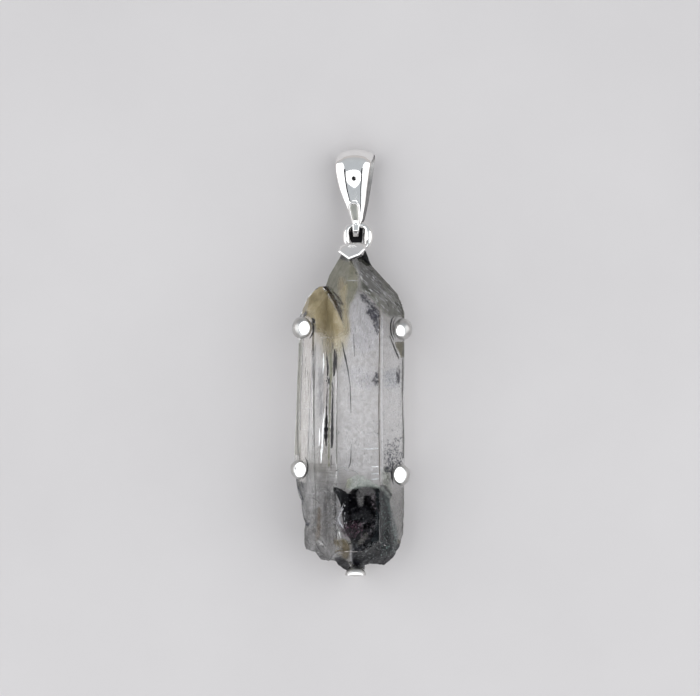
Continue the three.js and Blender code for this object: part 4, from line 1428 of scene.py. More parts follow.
lens("smoky_tip", [
    (352.6, 262), (359.4, 258.4), (365.8, 251.0), (369.6, 260), (376.4, 270.8), (386.6, 280.6), (395.8, 289.6),
    (402.0, 298.4), (405.6, 308.4), (405.6, 319.2), (397.6, 319.0), (388.6, 319.0), (381.6, 315), (376.6, 307),
    (371, 299.6), (364.6, 295), (359.6, 291.6), (358.6, 284), (359.2, 277), (357.8, 270.2),
], ("under", 3.0), smoke, half=0.5, step=2.3, soft=5.0, rough=0.8, lump=8, seed=24)
deep_smoke = mineral("deep_smoke", [(0.030, 0.030, 0.026), (0.066, 0.066, 0.056), (0.11, 0.11, 0.095)],
                     alpha=0.85, size=5, contrast=(0.3, 0.75), cover=(0.10, 0.46))
lens("deep_smoke", [
    (354.0, 262), (360.4, 258.8), (368.4, 259.0), (373.6, 268), (380.6, 278.8), (386, 290), (380, 297), (369, 292.8), (361.0, 289), (359.8, 277),
], ("under", 2.2), deep_smoke, half=0.4, step=2.2, soft=5.0, rough=0.5, lump=7, seed=45)
rim_olive = mineral("rim_olive", [(0.050, 0.047, 0.030), (0.090, 0.085, 0.058)], alpha=0.75, size=5,
                    contrast=(0.3, 0.7), cover=(0.0, 0.34))
lens("rim_smoke", [
    (367.0, 256), (371.8, 264), (378.4, 272.2), (388.6, 281.6), (397.6, 290.6), (403.6, 300), (406.4, 310), (406, 320),
    (400.6, 319), (400.2, 310), (397.0, 301), (390.4, 292.6), (382.4, 284.4), (374, 276), (368.6, 268),
], ("under", 2.0), rim_olive, half=0.4, step=1.8, soft=2.6, rough=0.4, lump=6, seed=46)
haze = mineral("lavender_haze", [(0.30, 0.295, 0.315), (0.44, 0.43, 0.46), (0.60, 0.59, 0.62)], alpha=0.42,
               size=3.6, contrast=(0.3, 0.7), cover=(0.30, 0.66), stretch=(1, 0.22, 1))
lens("lavender_haze", [
    (349, 298), (356, 291), (364, 296), (372, 302), (380, 311), (388, 322), (386, 338), (376, 352), (362, 356),
    (350, 352), (345, 332), (345, 314),
], ("under", 4.0), haze, half=0.5, step=2.6, soft=8.0, rough=1.0, lump=7, seed=25)
lens("haze_middle", [(350, 362), (366, 364), (379, 368), (380, 388), (366, 394), (352, 388), (341, 378)],
     ("under", 5.0), haze, half=0.4, step=2.8, soft=9.0, rough=1.0, lump=7, seed=26)
veil = mineral("body_veil", [(0.50, 0.495, 0.51), (0.66, 0.65, 0.67), (0.84, 0.83, 0.85)], alpha=0.22,
               size=6.0, contrast=(0.3, 0.7), cover=(0.30, 0.74), stretch=(1, 0.9, 1), detail=6)
lens("body_veil", [
    (336.6, 338), (344, 326), (360, 318), (376, 314), (392, 320), (403.6, 340), (404.4, 400), (404.2, 462), (400, 486),
    (388, 496), (370, 486), (352, 484), (340, 478), (332, 462), (334, 400),
], ("under", 6.0), veil, half=0.6, step=4.0, soft=14.0, rough=2.0, lump=12, seed=47)
left_veil = mineral("left_veil", [(0.42, 0.415, 0.39), (0.60, 0.595, 0.58), (0.80, 0.80, 0.79)], alpha=0.22,
                    size=2.4, contrast=(0.3, 0.7), cover=(0.34, 0.68), stretch=(1, 0.12, 1), detail=6)
lens("left_veil", [
    (300.6, 346), (314, 350), (326, 352), (326, 400), (325, 455), (318, 466), (304, 462), (297.6, 452), (298.4, 410), (299.6, 370),
], ("under", 4.0), left_veil, half=0.5, step=3.2, soft=4.0, rough=1.0, lump=12, seed=48)
edge_olive = mineral("edge_olive", [(0.32, 0.315, 0.25), (0.46, 0.455, 0.40)], alpha=0.50, size=5,
                     contrast=(0.3, 0.7), cover=(0.1, 0.5), stretch=(1, 0.15, 1))
lens("edge_olive", [
    (299.4, 338), (304.0, 338), (303.0, 370), (302.0, 400), (301.4, 430), (301.4, 456), (293.6, 456), (294.4, 430), (296.4, 395), (298.4, 360),
], ("under", 3.0), edge_olive, half=0.4, step=2.0, soft=1.6, rough=0.4, lump=6, seed=49)
blue_haze = mineral("blue_haze", [(0.25, 0.262, 0.295), (0.38, 0.395, 0.43)], alpha=0.50, size=4,
                    contrast=(0.3, 0.7), cover=(0.3, 0.66))
lens("blue_haze", [(378, 370), (388, 366), (398, 364), (402, 378), (400, 392), (390, 393), (380, 388)],
     ("under", 3.0), blue_haze, half=0.4, step=2.4, soft=8.0, rough=0.8, lump=6, seed=27)
ink = mineral("ink_flaw", [(0.012, 0.012, 0.022), (0.040, 0.040, 0.056), (0.14, 0.14, 0.18)], alpha=0.80, size=1.6,
              contrast=(0.34, 0.84), cover=(0.38, 0.62), shine=0.15, stretch=(1, 0.5, 1))
lens("ink_by_edge", [(376.4, 371.0), (378.9, 373), (379.0, 379), (378.2, 385.8), (374.6, 385.6), (371.6, 382.0), (373.4, 376.4)],
     ("under", 2.6), ink, half=0.4, step=1.3, soft=2.4, rough=0.8, lump=3, seed=28)
lens("ink_right", [(398.0, 368.6), (400.2, 369.6), (400.0, 377), (399.2, 383.8), (396.6, 382.6), (397.0, 375.4)],
     ("under", 2.2), ink, half=0.4, step=1.1, soft=1.8, rough=0.5, lump=3, seed=29)
lens("ink_tip_left", [(359.0, 293.6), (363.6, 293.0), (367.4, 296.6), (370.6, 301.6), (368.2, 304.6), (363.4, 302.2), (360.2, 298.6)],
     ("under", 2.6), ink, half=0.4, step=1.4, soft=3.0, rough=0.8, lump=3, seed=30)
lens("ink_tip_wedge", [
    (368.6, 301.0), (373.6, 303.6), (378.4, 308.6), (379.0, 317), (378.6, 327), (377.8, 335), (375.8, 332),
    (374.0, 324), (370.6, 317.4), (366.4, 312.6), (368.4, 308),
], ("under", 2.6), ink, half=0.5, step=1.4, soft=3.0, rough=0.8, lump=3, seed=31)
lens("wedge_below_claw", [(393.6, 341.6), (398, 341), (404.0, 341), (404.0, 357), (400.4, 359.4), (397.6, 352.4), (394.4, 346)],
     ("under", 2.4), mineral("olive_wedge", [(0.115, 0.105, 0.07), (0.21, 0.195, 0.14)], alpha=0.88, size=4),
     half=0.4, step=1.6, soft=1.6, rough=0.4, lump=4, seed=33)
olive_strip = mineral("olive_strip", [(0.19, 0.19, 0.125), (0.30, 0.305, 0.215), (0.44, 0.44, 0.36)], alpha=0.80,
                      size=3.4, contrast=(0.3, 0.7), cover=(0.1, 0.4), stretch=(1, 0.3, 1))
lens("olive_strip", [
    (329.4, 352), (333.4, 352.6), (333.8, 366), (333.4, 380), (332.6, 398), (331.8, 420), (331.2, 446), (331.0, 468),
    (328.0, 467), (327.8, 446), (328.4, 424), (328.8, 400), (329.4, 384), (329.6, 366),
], ("under", 2.6), olive_strip, half=0.4, step=1.7, soft=1.5, rough=0.5, lump=4, seed=34)

# --- dark lines: painted shade in the groove between the two prisms and along edges, and cracks
dark_line = mineral("dark_line", [(0.006, 0.006, 0.009), (0.024, 0.023, 0.026)], size=4, soft=False, rough=0.5, shine=0.2)
grey_line = mineral("grey_line", [(0.075, 0.075, 0.070), (0.16, 0.16, 0.15)], size=5, soft=False, alpha=0.75, rough=0.5)
brown_line = mineral("brown_line", [(0.045, 0.032, 0.020), (0.11, 0.085, 0.06)], size=5, soft=False, alpha=0.85, rough=0.5)
D = -2.4
T = -1.3
# black slivers in the groove: painted shade
slivers("groove_lines", [
    [(326.2, 350, 0.8, D), (327.0, 358, 2.2, D), (327.9, 367, 3.0, D), (328.2, 376, 1.6, D)],
    [(327.5, 388, 1.6, D), (326.9, 398, 2.4, D), (326.7, 410, 2.4, D), (326.5, 420, 3.4, D), (326.2, 430, 4.4, D),
     (325.9, 438, 3.4, D), (325.5, 446, 1.2, D)],
    [(335.2, 349, 0.9, D), (335.5, 358, 3.2, D), (335.2, 368, 3.0, D), (334.5, 376, 1.2, D)],
    [(333.6, 394, 1.0, D), (333.1, 408, 1.9, D), (332.9, 422, 2.2, D), (332.7, 436, 2.8, D), (332.3, 448, 1.9, D)],
    [(331.9, 455, 0.6, D), (331.7, 462, 0.7, D), (331.7, 470, 0.4, D)],
], dark_line)
# more painted shade where the groove's lines break up
slivers("groove_breaks", [
    [(326.6, 376, 1.1, D), (329.0, 380, 1.5, D), (330.6, 385, 0.8, D)],
    [(331.8, 374, 0.8, D), (330.2, 379, 1.2, D), (328.2, 384, 0.9, D)],
    [(325.6, 380, 0.8, D), (327.4, 385, 1.4, D), (326.8, 391, 1.2, D)],
    [(332.6, 382, 0.7, D), (333.6, 389, 1.2, D), (333.0, 396, 0.7, D)],
    [(329.4, 388, 0.6, D), (331.6, 391.6, 0.9, D), (331.0, 396, 0.4, D)],
], dark_line)
slivers("face_cracks", [
    [(342.2, 342, 0.6, D), (343.8, 351, 1.2, D), (346.2, 362, 1.5, D), (348.2, 372, 1.0, D), (349.9, 384, 0.7, D),
     (350.5, 398, 0.9, D), (350.9, 413, 0.6, D)],
    [(351.2, 444, 0.4, D), (350.9, 455, 0.7, D), (350.2, 463, 0.9, D), (348.3, 468, 0.4, D)],
    [(353.2, 334, 0.3, D), (354.0, 345, 0.6, D), (354.6, 357, 0.3, D)],
    [(346.6, 312, 0.3, D), (347.6, 322, 0.5, D), (348.4, 331, 0.2, D)],
    [(389.0, 335.6, 0.7, D), (392.2, 344, 1.1, D), (395.8, 352.6, 1.5, D), (398.4, 358.8, 0.7, D)],
    [(315.2, 540, 0.3, D), (319.6, 549, 0.7, D), (326.0, 557, 0.4, D)],
], dark_line)
slivers("notch_crack", [
    [(326.0, 287.6, 1.4, -1.0), (329.2, 292.2, 2.6, -1.0), (332.6, 296.8, 3.6, -1.0), (335.2, 301.4, 3.0, -1.0),
     (338.0, 308.6, 2.6, -1.0), (340.4, 315.0, 1.8, -1.0), (342.2, 321.0, 0.6, -1.0)],
    [(333.0, 291.6, 0.5, -1.0), (336.6, 295.6, 1.8, -1.0), (340.6, 300.6, 1.0, -1.0), (343.0, 304.4, 0.4, -1.0)],
    [(335.6, 300.0, 0.5, -1.0), (339.4, 303.0, 1.5, -1.0), (344.6, 305.2, 0.4, -1.0)],
    [(337.4, 304.6, 0.4, -1.0), (340.6, 309.4, 1.2, -1.0), (341.4, 314.4, 0.4, -1.0)],
], mineral("crack_brown", [(0.016, 0.011, 0.006), (0.060, 0.044, 0.026)], size=3, soft=False, alpha=0.88, rough=0.6, shine=0.15))
# a near-black wedge beside the tip plate's right corner: painted shade
plate_shade_black = mineral("plate_shade_black", [(0.003, 0.003, 0.004), (0.03, 0.03, 0.032)], size=3, soft=False, rough=0.6, shine=0.15)
lens("plate_shade_wedge", [(361.0, 258.6), (363.4, 253.4), (364.8, 249.8), (366.2, 251.4), (368.0, 256.0), (369.4, 260.4), (372.4, 266.4),
                   (368.2, 263.2), (364.6, 260.6)],
     38, plate_shade_black, half=3.4, step=1.1, soft=2.0, rough=0.6, lump=3, edge=0.3, seed=52)
# painted shade in the notch between the two tips and beside the upper left claw
slivers("notch_dark", [
    [(322.6, 285.4, 1.2, -1.2), (325.4, 287.6, 3.0, -1.2), (328.2, 291.0, 1.4, -1.2)],
    [(327.6, 291.4, 0.7, -1.4), (330.8, 295.6, 1.3, -1.4), (333.4, 299.2, 0.9, -1.4)],
    [(336.2, 306.6, 0.7, -1.4), (338.6, 312.2, 1.1, -1.4), (340.6, 317.4, 0.4, -1.4)],
    [(304.0, 317.4, 0.8, -1.2), (305.2, 314.0, 2.4, -1.2), (306.4, 311.4, 0.7, -1.2)],
    [(311.8, 318.2, 0.9, -1.4), (313.6, 320.0, 2.4, -1.4), (314.2, 323.4, 0.8, -1.4)],
], dark_line)
# brown line along the edge right of the front face: painted shade
slivers("edge_lines", [
    [(379.8, 306, 0.4, -1.2), (379.5, 340, 0.8, -1.2), (379.0, 372, 0.9, -1.2), (378.9, 405, 1.0, -1.2), (379.0, 440, 0.9, -1.2),
     (379.4, 470, 0.7, -1.2), (379.8, 486, 0.4, -1.2)],
], brown_line)
# a grey line over the bright edge of the groove's wall: painted shade that hides its reflection
slivers("wall_lines", [
    [(336.9, 356, 0.5, -0.7), (336.8, 390, 0.8, -0.7), (336.7, 426, 1.2, -0.7), (336.6, 446, 1.5, -0.7), (336.6, 464, 0.8, -0.7)],
], grey_line)
# grey lines along the left edges: painted shade
slivers("outer_lines", [
    [(301.4, 343, 0.5, D), (300.2, 360, 0.7, D), (298.8, 384, 0.8, D), (298.4, 410, 0.9, D), (298.0, 436, 0.8, D), (299.0, 456, 0.6, D)],
    [(303.6, 346, 0.3, D), (302.4, 370, 0.4, D), (301.2, 400, 0.5, D), (300.8, 430, 0.4, D)],
    [(314.8, 345, 0.5, D), (314.0, 372, 0.9, D), (313.6, 400, 1.0, D), (313.8, 430, 0.8, D), (314.2, 462, 0.7, D), (315.0, 500, 0.6, D), (315.4, 540, 0.4, D)],
    [(309.4, 372, 0.3, D), (308.8, 384, 0.4, D), (309.0, 396, 0.2, D)],
], grey_line)
# grey lines inside the right edge and along the lower left outline: painted shade
slivers("right_edge", [
    [(402.8, 343, 0.6, -1.4), (402.6, 360, 1.4, -1.4), (402.2, 378, 2.0, -1.4), (402.0, 396, 1.2, -1.4), (402.6, 420, 1.3, -1.4),
     (403.2, 440, 2.2, -1.4), (403.0, 458, 1.5, -1.4)],
    [(402.8, 488, 0.7, -1.6), (403.0, 510, 0.9, -1.6), (402.6, 530, 1.2, -1.6)],
    [(297.4, 477, 1.2, -1.6), (299.2, 486, 2.4, -1.6), (301.6, 494, 2.2, -1.6), (304.0, 501, 0.8, -1.6)],
], grey_line)
slivers("claw_shadows", [
    [(394.4, 315.6, 0.5, -1.2), (391.6, 319.4, 1.2, -1.2), (390.4, 326, 1.4, -1.2), (390.8, 333, 1.3, -1.2), (393.4, 340, 0.5, -1.2)],
    [(396.0, 317.4, 0.3, -1.0), (393.4, 322, 0.8, -1.0), (392.8, 328, 0.9, -1.0), (393.4, 334, 0.7, -1.0), (395.4, 339, 0.3, -1.0)],
    [(305.4, 457.4, 0.4, -1.2), (307.6, 463, 1.2, -1.2), (307.8, 469, 1.4, -1.2), (305.6, 475, 1.1, -1.2), (302.4, 479, 0.4, -1.2)],
    [(393.6, 463.6, 0.5, -1.2), (391.8, 469, 1.3, -1.2), (391.6, 477, 1.6, -1.2), (393.2, 484.6, 0.5, -1.2)],
    [(312.4, 321, 0.7, -1.2), (313.6, 327, 1.3, -1.2), (312.6, 333.6, 1.3, -1.2), (309.6, 338.6, 0.5, -1.2)],
], dark_line)

# --- stand-in glints on striations and edges, from mirror slivers and painted white lines; grey lines
# mirror slivers inside the quartz that give the highlights of the striations and of the groove: stand-in highlights
white = mineral("glint_mirror", [(0.88, 0.885, 0.90), (0.97, 0.97, 0.975)], size=3, soft=False, rough=0.16, metal=1.0)
white_thin = mineral("white_glint_line", [(0.66, 0.66, 0.68), (0.88, 0.88, 0.90)], size=3, soft=False, alpha=0.55, rough=0.3)
slivers("white_streaks", [
    [(361.4, 448.9, 0.7, D), (370, 448.7, 1.4, D), (378.2, 448.4, 0.9, D)],
    [(371.4, 466.8, 0.5, D), (375, 466.6, 1.0, D), (378.4, 466.4, 0.6, D)],
    [(370.8, 474.0, 0.6, D), (375, 473.8, 1.3, D), (378.4, 473.6, 0.8, D)],
    [(371.4, 479.2, 0.6, D), (375, 479.0, 1.4, D), (378.4, 478.8, 0.8, D)],
], white)
slivers("groove_glints", [
    [(322.6, 353, 0.6, -3.4), (323.2, 358, 2.2, -3.4), (323.4, 364, 3.2, -3.4), (322.6, 370, 2.0, -3.4), (322.2, 374, 0.5, -3.4)],
    [(324.0, 406, 0.5, -3.4), (323.8, 414, 1.6, -3.4), (323.2, 422, 2.6, -3.4), (322.6, 431, 3.4, -3.4), (322.2, 439, 3.0, -3.4),
     (321.6, 447, 2.2, -3.4), (321.2, 454, 0.6, -3.4)],
    [(318.6, 428, 0.3, -3.0), (318.8, 437, 1.3, -3.0), (318.4, 446, 0.4, -3.0)],
    [(320.0, 449, 0.4, -3.0), (320.6, 456, 1.3, -3.0), (320.2, 463, 0.4, -3.0)],
], white, slope=0.625)
zone_grey = mineral("groove_grey", [(0.14, 0.14, 0.16), (0.26, 0.26, 0.28)], alpha=0.30, size=4,
                    contrast=(0.3, 0.7), cover=(0.25, 0.65), stretch=(1, 0.2, 1))
lens("groove_grey", [(314, 364), (326.4, 366), (327, 390), (326.6, 412), (321, 424), (314.4, 420), (313.6, 390)],
     ("under", 3.4), zone_grey, half=0.4, step=2.0, soft=6.0, rough=0.5, lump=5, seed=50)
# white lines: painted glints on the striations and edges
hair = [
    [(320, 337.6, 0.3, D), (325, 337.4, 0.6, D), (330.4, 337.6, 0.3, D)],
    [(347.6, 280.9, 0.3, D), (353, 280.6, 0.7, D), (358.2, 280.8, 0.4, D)],
    [(368, 446.2, 0.3, D), (372, 446, 0.6, D), (376, 446.2, 0.3, D)],
    [(337, 374.2, 0.2, D), (356, 373.8, 0.45, D), (376, 374.4, 0.2, D)],
    [(338, 400.2, 0.2, D), (352, 400, 0.4, D), (366, 400.4, 0.2, D)],
    [(338, 449.2, 0.2, D), (348, 449, 0.4, D), (358, 449.3, 0.2, D)],
    [(303, 409.2, 0.2, D), (306.6, 409, 0.6, D), (310.6, 409.2, 0.2, D)],
    [(364, 433, 0.2, D), (371, 432.8, 0.4, D), (377, 433, 0.2, D)],
    [(360, 470.2, 0.2, D), (369, 470, 0.5, D), (377, 470.2, 0.2, D)],
    [(336.6, 473.6, 0.3, D), (340.4, 467.6, 0.7, D), (343, 466.0, 0.7, D), (347.6, 470.4, 0.3, D)],
    [(351, 467.6, 0.3, D), (355.4, 470.2, 0.6, D), (360.4, 473.6, 0.3, D)],
    [(381.9, 318, 0.3, -1.2), (381.7, 360, 0.7, -1.2), (381.4, 400, 0.8, -1.2), (381.8, 440, 0.7, -1.2), (382.0, 472, 0.3, -1.2)],
]
rng = random.Random(21)
for k in range(26):  # short white strokes under the right tip face: painted glints along its edge
    x, y = rng.uniform(364, 388), rng.uniform(288, 312)
    if y > 286 + (x - 360) * 0.2:
        l = rng.uniform(1.2, 4.0)
        hair.append([(x, y, 0.2, T), (x + l * 0.45, y + l * 0.4, rng.uniform(0.3, 0.8), T), (x + l * 0.9, y + l * 0.8, 0.2, T)])
for k in range(70):  # white strokes along the smoky face
    t = rng.random()
    x, y = 361 + 36 * t + rng.uniform(-4, 8), 270 + 36 * t + rng.uniform(-8, 8)
    l = rng.uniform(2, 7)
    if (x - 360) * 0.95 + 262 < y < (x - 360) * 0.9 + 292 and y > 262:
        hair.append([(x, y, 0.15, T), (x + l * 0.37, y + l * 0.34, rng.uniform(0.2, 0.5), T), (x + l * 0.74, y + l * 0.68, 0.15, T)])
for k in range(34):  # fine strokes along the faces
    x, y = rng.choice([rng.uniform(338, 378), rng.uniform(303, 313)]), rng.uniform(318, 460)
    l = rng.uniform(1.5, 5)
    hair.append([(x, y, 0.15, D), (x + rng.uniform(-0.4, 0.4), y + l / 2, rng.uniform(0.2, 0.4), D), (x, y + l, 0.15, D)])
slivers("white_glint_lines", hair, white_thin)
grey_hair = []
for k in range(60):
    x, y = rng.uniform(338, 402), rng.uniform(300, 470)
    l = rng.uniform(1.0, 4.5)
    a = rng.uniform(-0.35, 0.35)
    grey_hair.append([(x, y, 0.15, D), (x + l / 2 * a, y + l / 2, rng.uniform(0.2, 0.45), D), (x + l * a, y + l, 0.15, D)])
for k in range(12):  # fine vertical lines high on the side crystal
    x, y = rng.uniform(303, 336), rng.uniform(340, 372)
    l = rng.uniform(4, 12)
    grey_hair.append([(x, y, 0.2, D), (x - 0.2, y + l / 2, rng.uniform(0.3, 0.6), D), (x - 0.4, y + l, 0.15, D)])
for y in (464.6, 467.4, 470.6, 473.4, 477.0, 483.2):
    grey_hair.append([(313, y, 0.1, -3.0), (326, y + rng.uniform(-0.3, 0.3), rng.uniform(0.15, 0.35), -3.0), (344 + rng.uniform(-3, 3), y, 0.1, -3.0)])
slivers("grey_hairs", grey_hair, grey_line)

# --- specks
specks = []
for k in range(330):
    y = 472 - abs(rng.gauss(0, 1)) * 16
    x = rng.uniform(384, 402.4)
    if y < 424:
        continue
    specks.append((x, y, -rng.uniform(0.9, 2.2), rng.uniform(0.8, 3.4), rng.uniform(0.5, 1.5), rng.choice([0.7, -0.75, 0.1, 1.3]) + rng.uniform(-0.3, 0.3)))
for k in range(70):
    specks.append((rng.uniform(382, 402), rng.uniform(345, 430), -rng.uniform(1.2, 3.0), rng.uniform(0.4, 1.2), rng.uniform(0.4, 1.3), rng.uniform(0, 3.1)))
for k in range(36):
    specks.append((rng.uniform(340, 379), rng.uniform(300, 440), -rng.uniform(2, 12), rng.uniform(0.25, 0.8), rng.uniform(0.25, 0.8), rng.uniform(0, 3.1)))
for k in range(14):
    specks.append((rng.uniform(371, 378), rng.uniform(420, 436), -rng.uniform(2, 4), rng.uniform(0.4, 1.0), rng.uniform(0.4, 1.0), rng.uniform(0, 3.1)))
speck = mineral("speck", [(0.02, 0.022, 0.035), (0.09, 0.095, 0.12)], size=2, soft=False, alpha=0.92, rough=0.5)
flakes("dark_specks", specks, speck, seed=3)


def cluster(poly, count, depth, length, width, turn, spread=0.35):
    """Spots scattered in a polygon, drawn out along one direction."""
    xs, ys = [p[0] for p in poly], [p[1] for p in poly]
    out = []
    while len(out) < count:
        x, y = rng.uniform(min(xs), max(xs)), rng.uniform(min(ys), max(ys))
        if inside_polygon((x, y), poly):
            out.append((x, y, -rng.uniform(*depth), rng.uniform(*length), rng.uniform(*width), turn + rng.gauss(0, spread)))
    return out


# y runs down, so a turn of 1.57 is upright and 0.7 falls to the right
inky = cluster([(376.6, 370.6), (379.0, 373), (379.0, 386), (373.6, 386), (371.0, 382.4), (373.4, 376)], 46, (1.8, 2.6), (0.6, 2.2), (0.4, 0.9), 1.9)
inky += cluster([(396.6, 368), (399.6, 369), (399.2, 384), (395.2, 383), (395.8, 375)], 64, (0.7, 1.3), (0.8, 3.6), (0.4, 1.0), 1.5, 0.15)
inky += cluster([(358.6, 293.4), (364, 292.6), (371, 300.6), (368.6, 305), (361, 300.6)], 46, (1.8, 2.6), (0.7, 2.8), (0.3, 0.8), 0.75)
inky += cluster([(368.0, 300.0), (374, 303), (379.0, 308.6), (379.2, 322), (378.4, 336), (375.6, 332), (373.0, 322), (366.0, 312)], 210,
                (1.8, 2.6), (0.8, 3.4), (0.3, 0.9), 1.1, 0.4)
inky += cluster([(354, 372), (372, 370), (373, 387), (356, 388)], 26, (2.4, 4), (0.3, 0.9), (0.3, 0.7), 1.5, 1.0)
flakes("ink_strokes", inky, mineral("ink_stroke", [(0.006, 0.006, 0.014), (0.06, 0.06, 0.085)], size=2, soft=False, alpha=0.92, rough=0.5), seed=11)
# cracks and edges round the base
slivers("base_edges", [
    [(296.6, 477.6, 0.9, -1.0), (297.6, 485.0, 1.5, -1.0), (300.0, 492.0, 1.2, -1.0), (302.6, 498.6, 0.8, -1.0), (303.2, 506.0, 0.3, -1.0)],
    [(306.2, 522.0, 1.0, -1.0), (308.2, 524.2, 2.6, -1.0), (310.2, 522.6, 0.6, -1.0)],
    [(300.6, 478.0, 0.3, -1.2), (302.0, 484.0, 0.7, -1.2), (303.4, 490.0, 0.3, -1.2)],
    [(363.6, 564.6, 1.2, -1.2), (364.8, 568.4, 2.2, -1.2), (364.4, 571.4, 0.8, -1.2)],
], mineral("base_edge", [(0.008, 0.008, 0.014), (0.06, 0.06, 0.075)], size=3, soft=False, alpha=0.82, rough=0.5))
slivers("veil_cracks", [
    [(337.6, 470.6, 0.3, -1.4), (340.4, 467.6, 0.6, -1.4), (342.8, 466.8, 0.5, -1.4), (346.4, 469.4, 0.3, -1.4)],
    [(349.0, 470.4, 0.3, -1.4), (352.4, 470.6, 0.6, -1.4), (355.6, 471.6, 0.5, -1.4), (358.8, 474.8, 0.3, -1.4)],
    [(336.8, 470.8, 0.3, -1.4), (332.4, 472.4, 0.4, -1.4), (322.0, 472.2, 0.5, -1.4), (318.0, 473.0, 0.3, -1.4)],
    [(318.4, 481.4, 0.3, -1.4), (326.4, 482.0, 0.5, -1.4), (334.0, 481.6, 0.3, -1.4)],
    [(303.6, 500.6, 0.3, -1.4), (309.4, 497.6, 0.5, -1.4), (316.4, 500.2, 0.5, -1.4), (320.0, 504.6, 0.3, -1.4)],
    [(344.6, 490.0, 0.3, -1.4), (346.4, 484.0, 0.6, -1.4), (349.2, 480.6, 0.3, -1.4)],
    [(347.6, 488.6, 0.3, -1.4), (350.4, 484.0, 0.6, -1.4), (354.0, 479.4, 0.3, -1.4)],
], mineral("veil_crack", [(0.09, 0.088, 0.082), (0.20, 0.195, 0.185)], size=3, soft=False, alpha=0.62, rough=0.5))
# pale curved lines left of the dark mass: painted glints
slivers("glint_arcs", [
    [(345.4, 500.6, 0.3, -1.6), (344.8, 505.0, 0.7, -1.6), (342.0, 510.4, 0.9, -1.6), (339.2, 515.6, 0.8, -1.6), (338.4, 521.0, 0.4, -1.6)],
    [(343.6, 503.4, 0.3, -1.6), (341.6, 508.4, 0.5, -1.6), (338.6, 512.8, 0.3, -1.6)],
    [(337.6, 518.0, 0.3, -1.6), (340.4, 523.6, 0.9, -1.6), (343.6, 528.4, 0.5, -1.6)],
], mineral("glint_arc", [(0.62, 0.62, 0.66), (0.85, 0.85, 0.88)], size=3, soft=False, alpha=0.72, rough=0.3))
teal = cluster([(380.4, 490), (386, 498), (390, 512), (395, 530), (398.6, 544), (392, 556), (381, 556), (380.6, 520)], 150,
               (1.2, 2.0), (0.5, 3.0), (0.4, 1.3), 1.35, 0.5)
flakes("teal_chips", teal, mineral("teal_chip", [(0.004, 0.010, 0.012), (0.045, 0.085, 0.082), (0.24, 0.32, 0.30)], size=3, soft=False,
                                   alpha=0.80, rough=0.5, contrast=(0.36, 0.62)), seed=14)
mauve = cluster([(366, 490), (376, 494), (386, 506), (388, 516), (379, 514), (370, 505)], 90, (1.6, 5.0), (0.5, 2.6), (0.4, 1.2), 0.9, 0.7)
mauve += cluster([(357, 524), (372, 516), (380, 530), (378, 548), (362, 546)], 90, (4.6, 6.4), (0.5, 2.6), (0.4, 1.1), 0.6, 0.9)
flakes("mauve_chips", mauve, mineral("mauve_chip", [(0.014, 0.010, 0.015), (0.085, 0.068, 0.084), (0.30, 0.26, 0.29)], size=3, soft=False,
                                     alpha=0.66, rough=0.5, contrast=(0.40, 0.66)), seed=15)
beige = cluster([(391, 492), (402.0, 488), (402.6, 545), (399.6, 545), (396, 520)], 90, (0.9, 1.6), (1.0, 6.0), (0.4, 1.1), 1.57, 0.18)
beige += cluster([(305, 500), (318, 498), (336, 500), (338, 545), (328, 556), (312, 545)], 130, (3.0, 6.0), (0.8, 5.0), (0.5, 1.8), 1.5, 0.5)
veil_dark = cluster([(336.8, 498), (340, 504), (341.6, 512), (342, 524), (347, 536), (340, 537), (336.8, 520)], 64, (2.0, 3.2), (0.5, 2.4), (0.4, 1.0), 1.2, 0.8)
flakes("veil_dark", veil_dark, mineral("veil_dark", [(0.05, 0.048, 0.055), (0.17, 0.165, 0.18)], size=3, soft=False, alpha=0.55, rough=0.5), seed=17)
flakes("beige_strokes", beige, mineral("beige_stroke", [(0.26, 0.245, 0.235), (0.43, 0.41, 0.40), (0.62, 0.59, 0.58)], size=3, soft=False,
                                       alpha=0.40, rough=0.5, contrast=(0.40, 0.66)), seed=16)
smoky = []
for k in range(120):  # dark strokes along the smoky face
    t = rng.random()
    x, y = 362 + 38 * t + rng.uniform(-5, 6), 268 + 38 * t + rng.uniform(-8, 8)
    smoky.append((x, y, -rng.uniform(0.8, 1.4), rng.uniform(1.5, 7.0), rng.uniform(0.25, 0.8), 0.76 + rng.gauss(0, 0.12)))
smoky += cluster([(352, 262), (358, 262), (360, 290), (353, 300), (346, 300), (344, 284)], 26, (1.6, 2.2), (0.8, 3.0), (0.3, 0.6), 1.4, 0.3)
flakes("smoky_strokes", smoky, mineral("smoky_stroke", [(0.018, 0.018, 0.014), (0.075, 0.075, 0.062)], size=2, soft=False, alpha=0.66, rough=0.5), seed=12)
mottle = cluster([(352, 546), (366, 542), (380, 540), (397, 536), (400, 544), (392, 558), (384, 565), (366, 564), (358, 568)], 170,
                 (1.4, 2.4), (0.5, 2.8), (0.4, 1.6), 0.8, 1.0)
mottle += cluster([(380, 494), (386, 506), (391, 524), (395, 540), (380, 545), (379, 520)], 60, (1.6, 2.6), (0.5, 2.2), (0.4, 1.2), 1.3, 0.8)
mottle += cluster([(343, 500), (378, 502), (378, 548), (356, 548), (344, 530)], 60, (5.0, 6.5), (0.4, 2.0), (0.3, 0.9), 0.8, 1.0)
flakes("base_mottle", mottle, mineral("base_mottle", [(0.004, 0.004, 0.008), (0.08, 0.09, 0.092), (0.30, 0.31, 0.315)], size=3, soft=False,
                                      alpha=0.80, rough=0.5, contrast=(0.42, 0.66)), seed=13)
glint = []
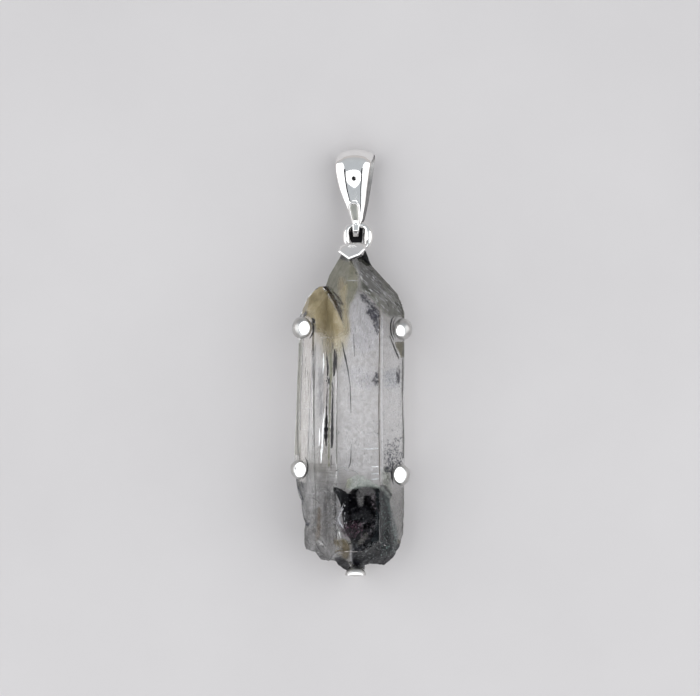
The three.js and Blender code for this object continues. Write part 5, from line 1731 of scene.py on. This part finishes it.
for k in range(46):  # broken white and grey chips over the dark mass
    x, y = rng.uniform(340, 396), rng.uniform(494, 562)
    if inside_polygon((x, y), MASS) or y > 540:
        glint.append((x, y, -rng.uniform(4.5, 7.5), rng.uniform(0.3, 1.3), rng.uniform(0.3, 0.9), rng.uniform(0, 3.1)))
flakes("grey_chips", glint, mineral("grey_chip", [(0.04, 0.04, 0.05), (0.20, 0.20, 0.22)], size=3, soft=False, alpha=0.6, rough=0.4), seed=4)
wine_chips = [(rng.uniform(341, 363), rng.uniform(521, 537), -rng.uniform(5, 7.5), rng.uniform(0.4, 2.4), rng.uniform(0.25, 0.6), rng.uniform(0, 3.1)) for k in range(70)]
flakes("wine_chips", wine_chips, mineral("wine_chip", [(0.09, 0.020, 0.050), (0.24, 0.13, 0.19)], size=3, soft=False, alpha=0.85, rough=0.4), seed=5)
pale_chips = [(rng.uniform(340, 347), rng.uniform(497, 526), -rng.uniform(3.0, 5), rng.uniform(0.8, 3.4), rng.uniform(0.3, 0.8), rng.uniform(1.0, 2.2)) for k in range(26)]
pale_chips += [(rng.uniform(327, 341), rng.uniform(500, 528), -rng.uniform(4.5, 7), rng.uniform(0.5, 2.2), rng.uniform(0.4, 1.4), rng.uniform(0, 3.1)) for k in range(42)]
# pale chips low on the right of the base: painted glints
pale_chips += [(rng.uniform(392, 402), rng.uniform(534, 551), -rng.uniform(3.5, 6), rng.uniform(0.4, 1.6), rng.uniform(0.3, 0.9), rng.uniform(0, 3.1)) for k in range(26)]
pale_chips += [(rng.uniform(304, 312), rng.uniform(538, 551), -rng.uniform(3.5, 6), rng.uniform(0.4, 1.8), rng.uniform(0.3, 0.9), rng.uniform(0, 3.1)) for k in range(16)]
flakes("pale_chips", pale_chips, mineral("pale_chip", [(0.46, 0.47, 0.50), (0.78, 0.78, 0.80)], size=3, soft=False, alpha=0.6, rough=0.3), seed=6)
lens("black_fleck", [(306.0, 521.4), (308.4, 522.6), (310.8, 521.2), (310.4, 524.4), (308.2, 526.4), (306.2, 524.2)],
     ("under", 4.0), ink, half=0.5, step=0.9, soft=0.8, rough=0.2, lump=2, edge=0.2, seed=35)
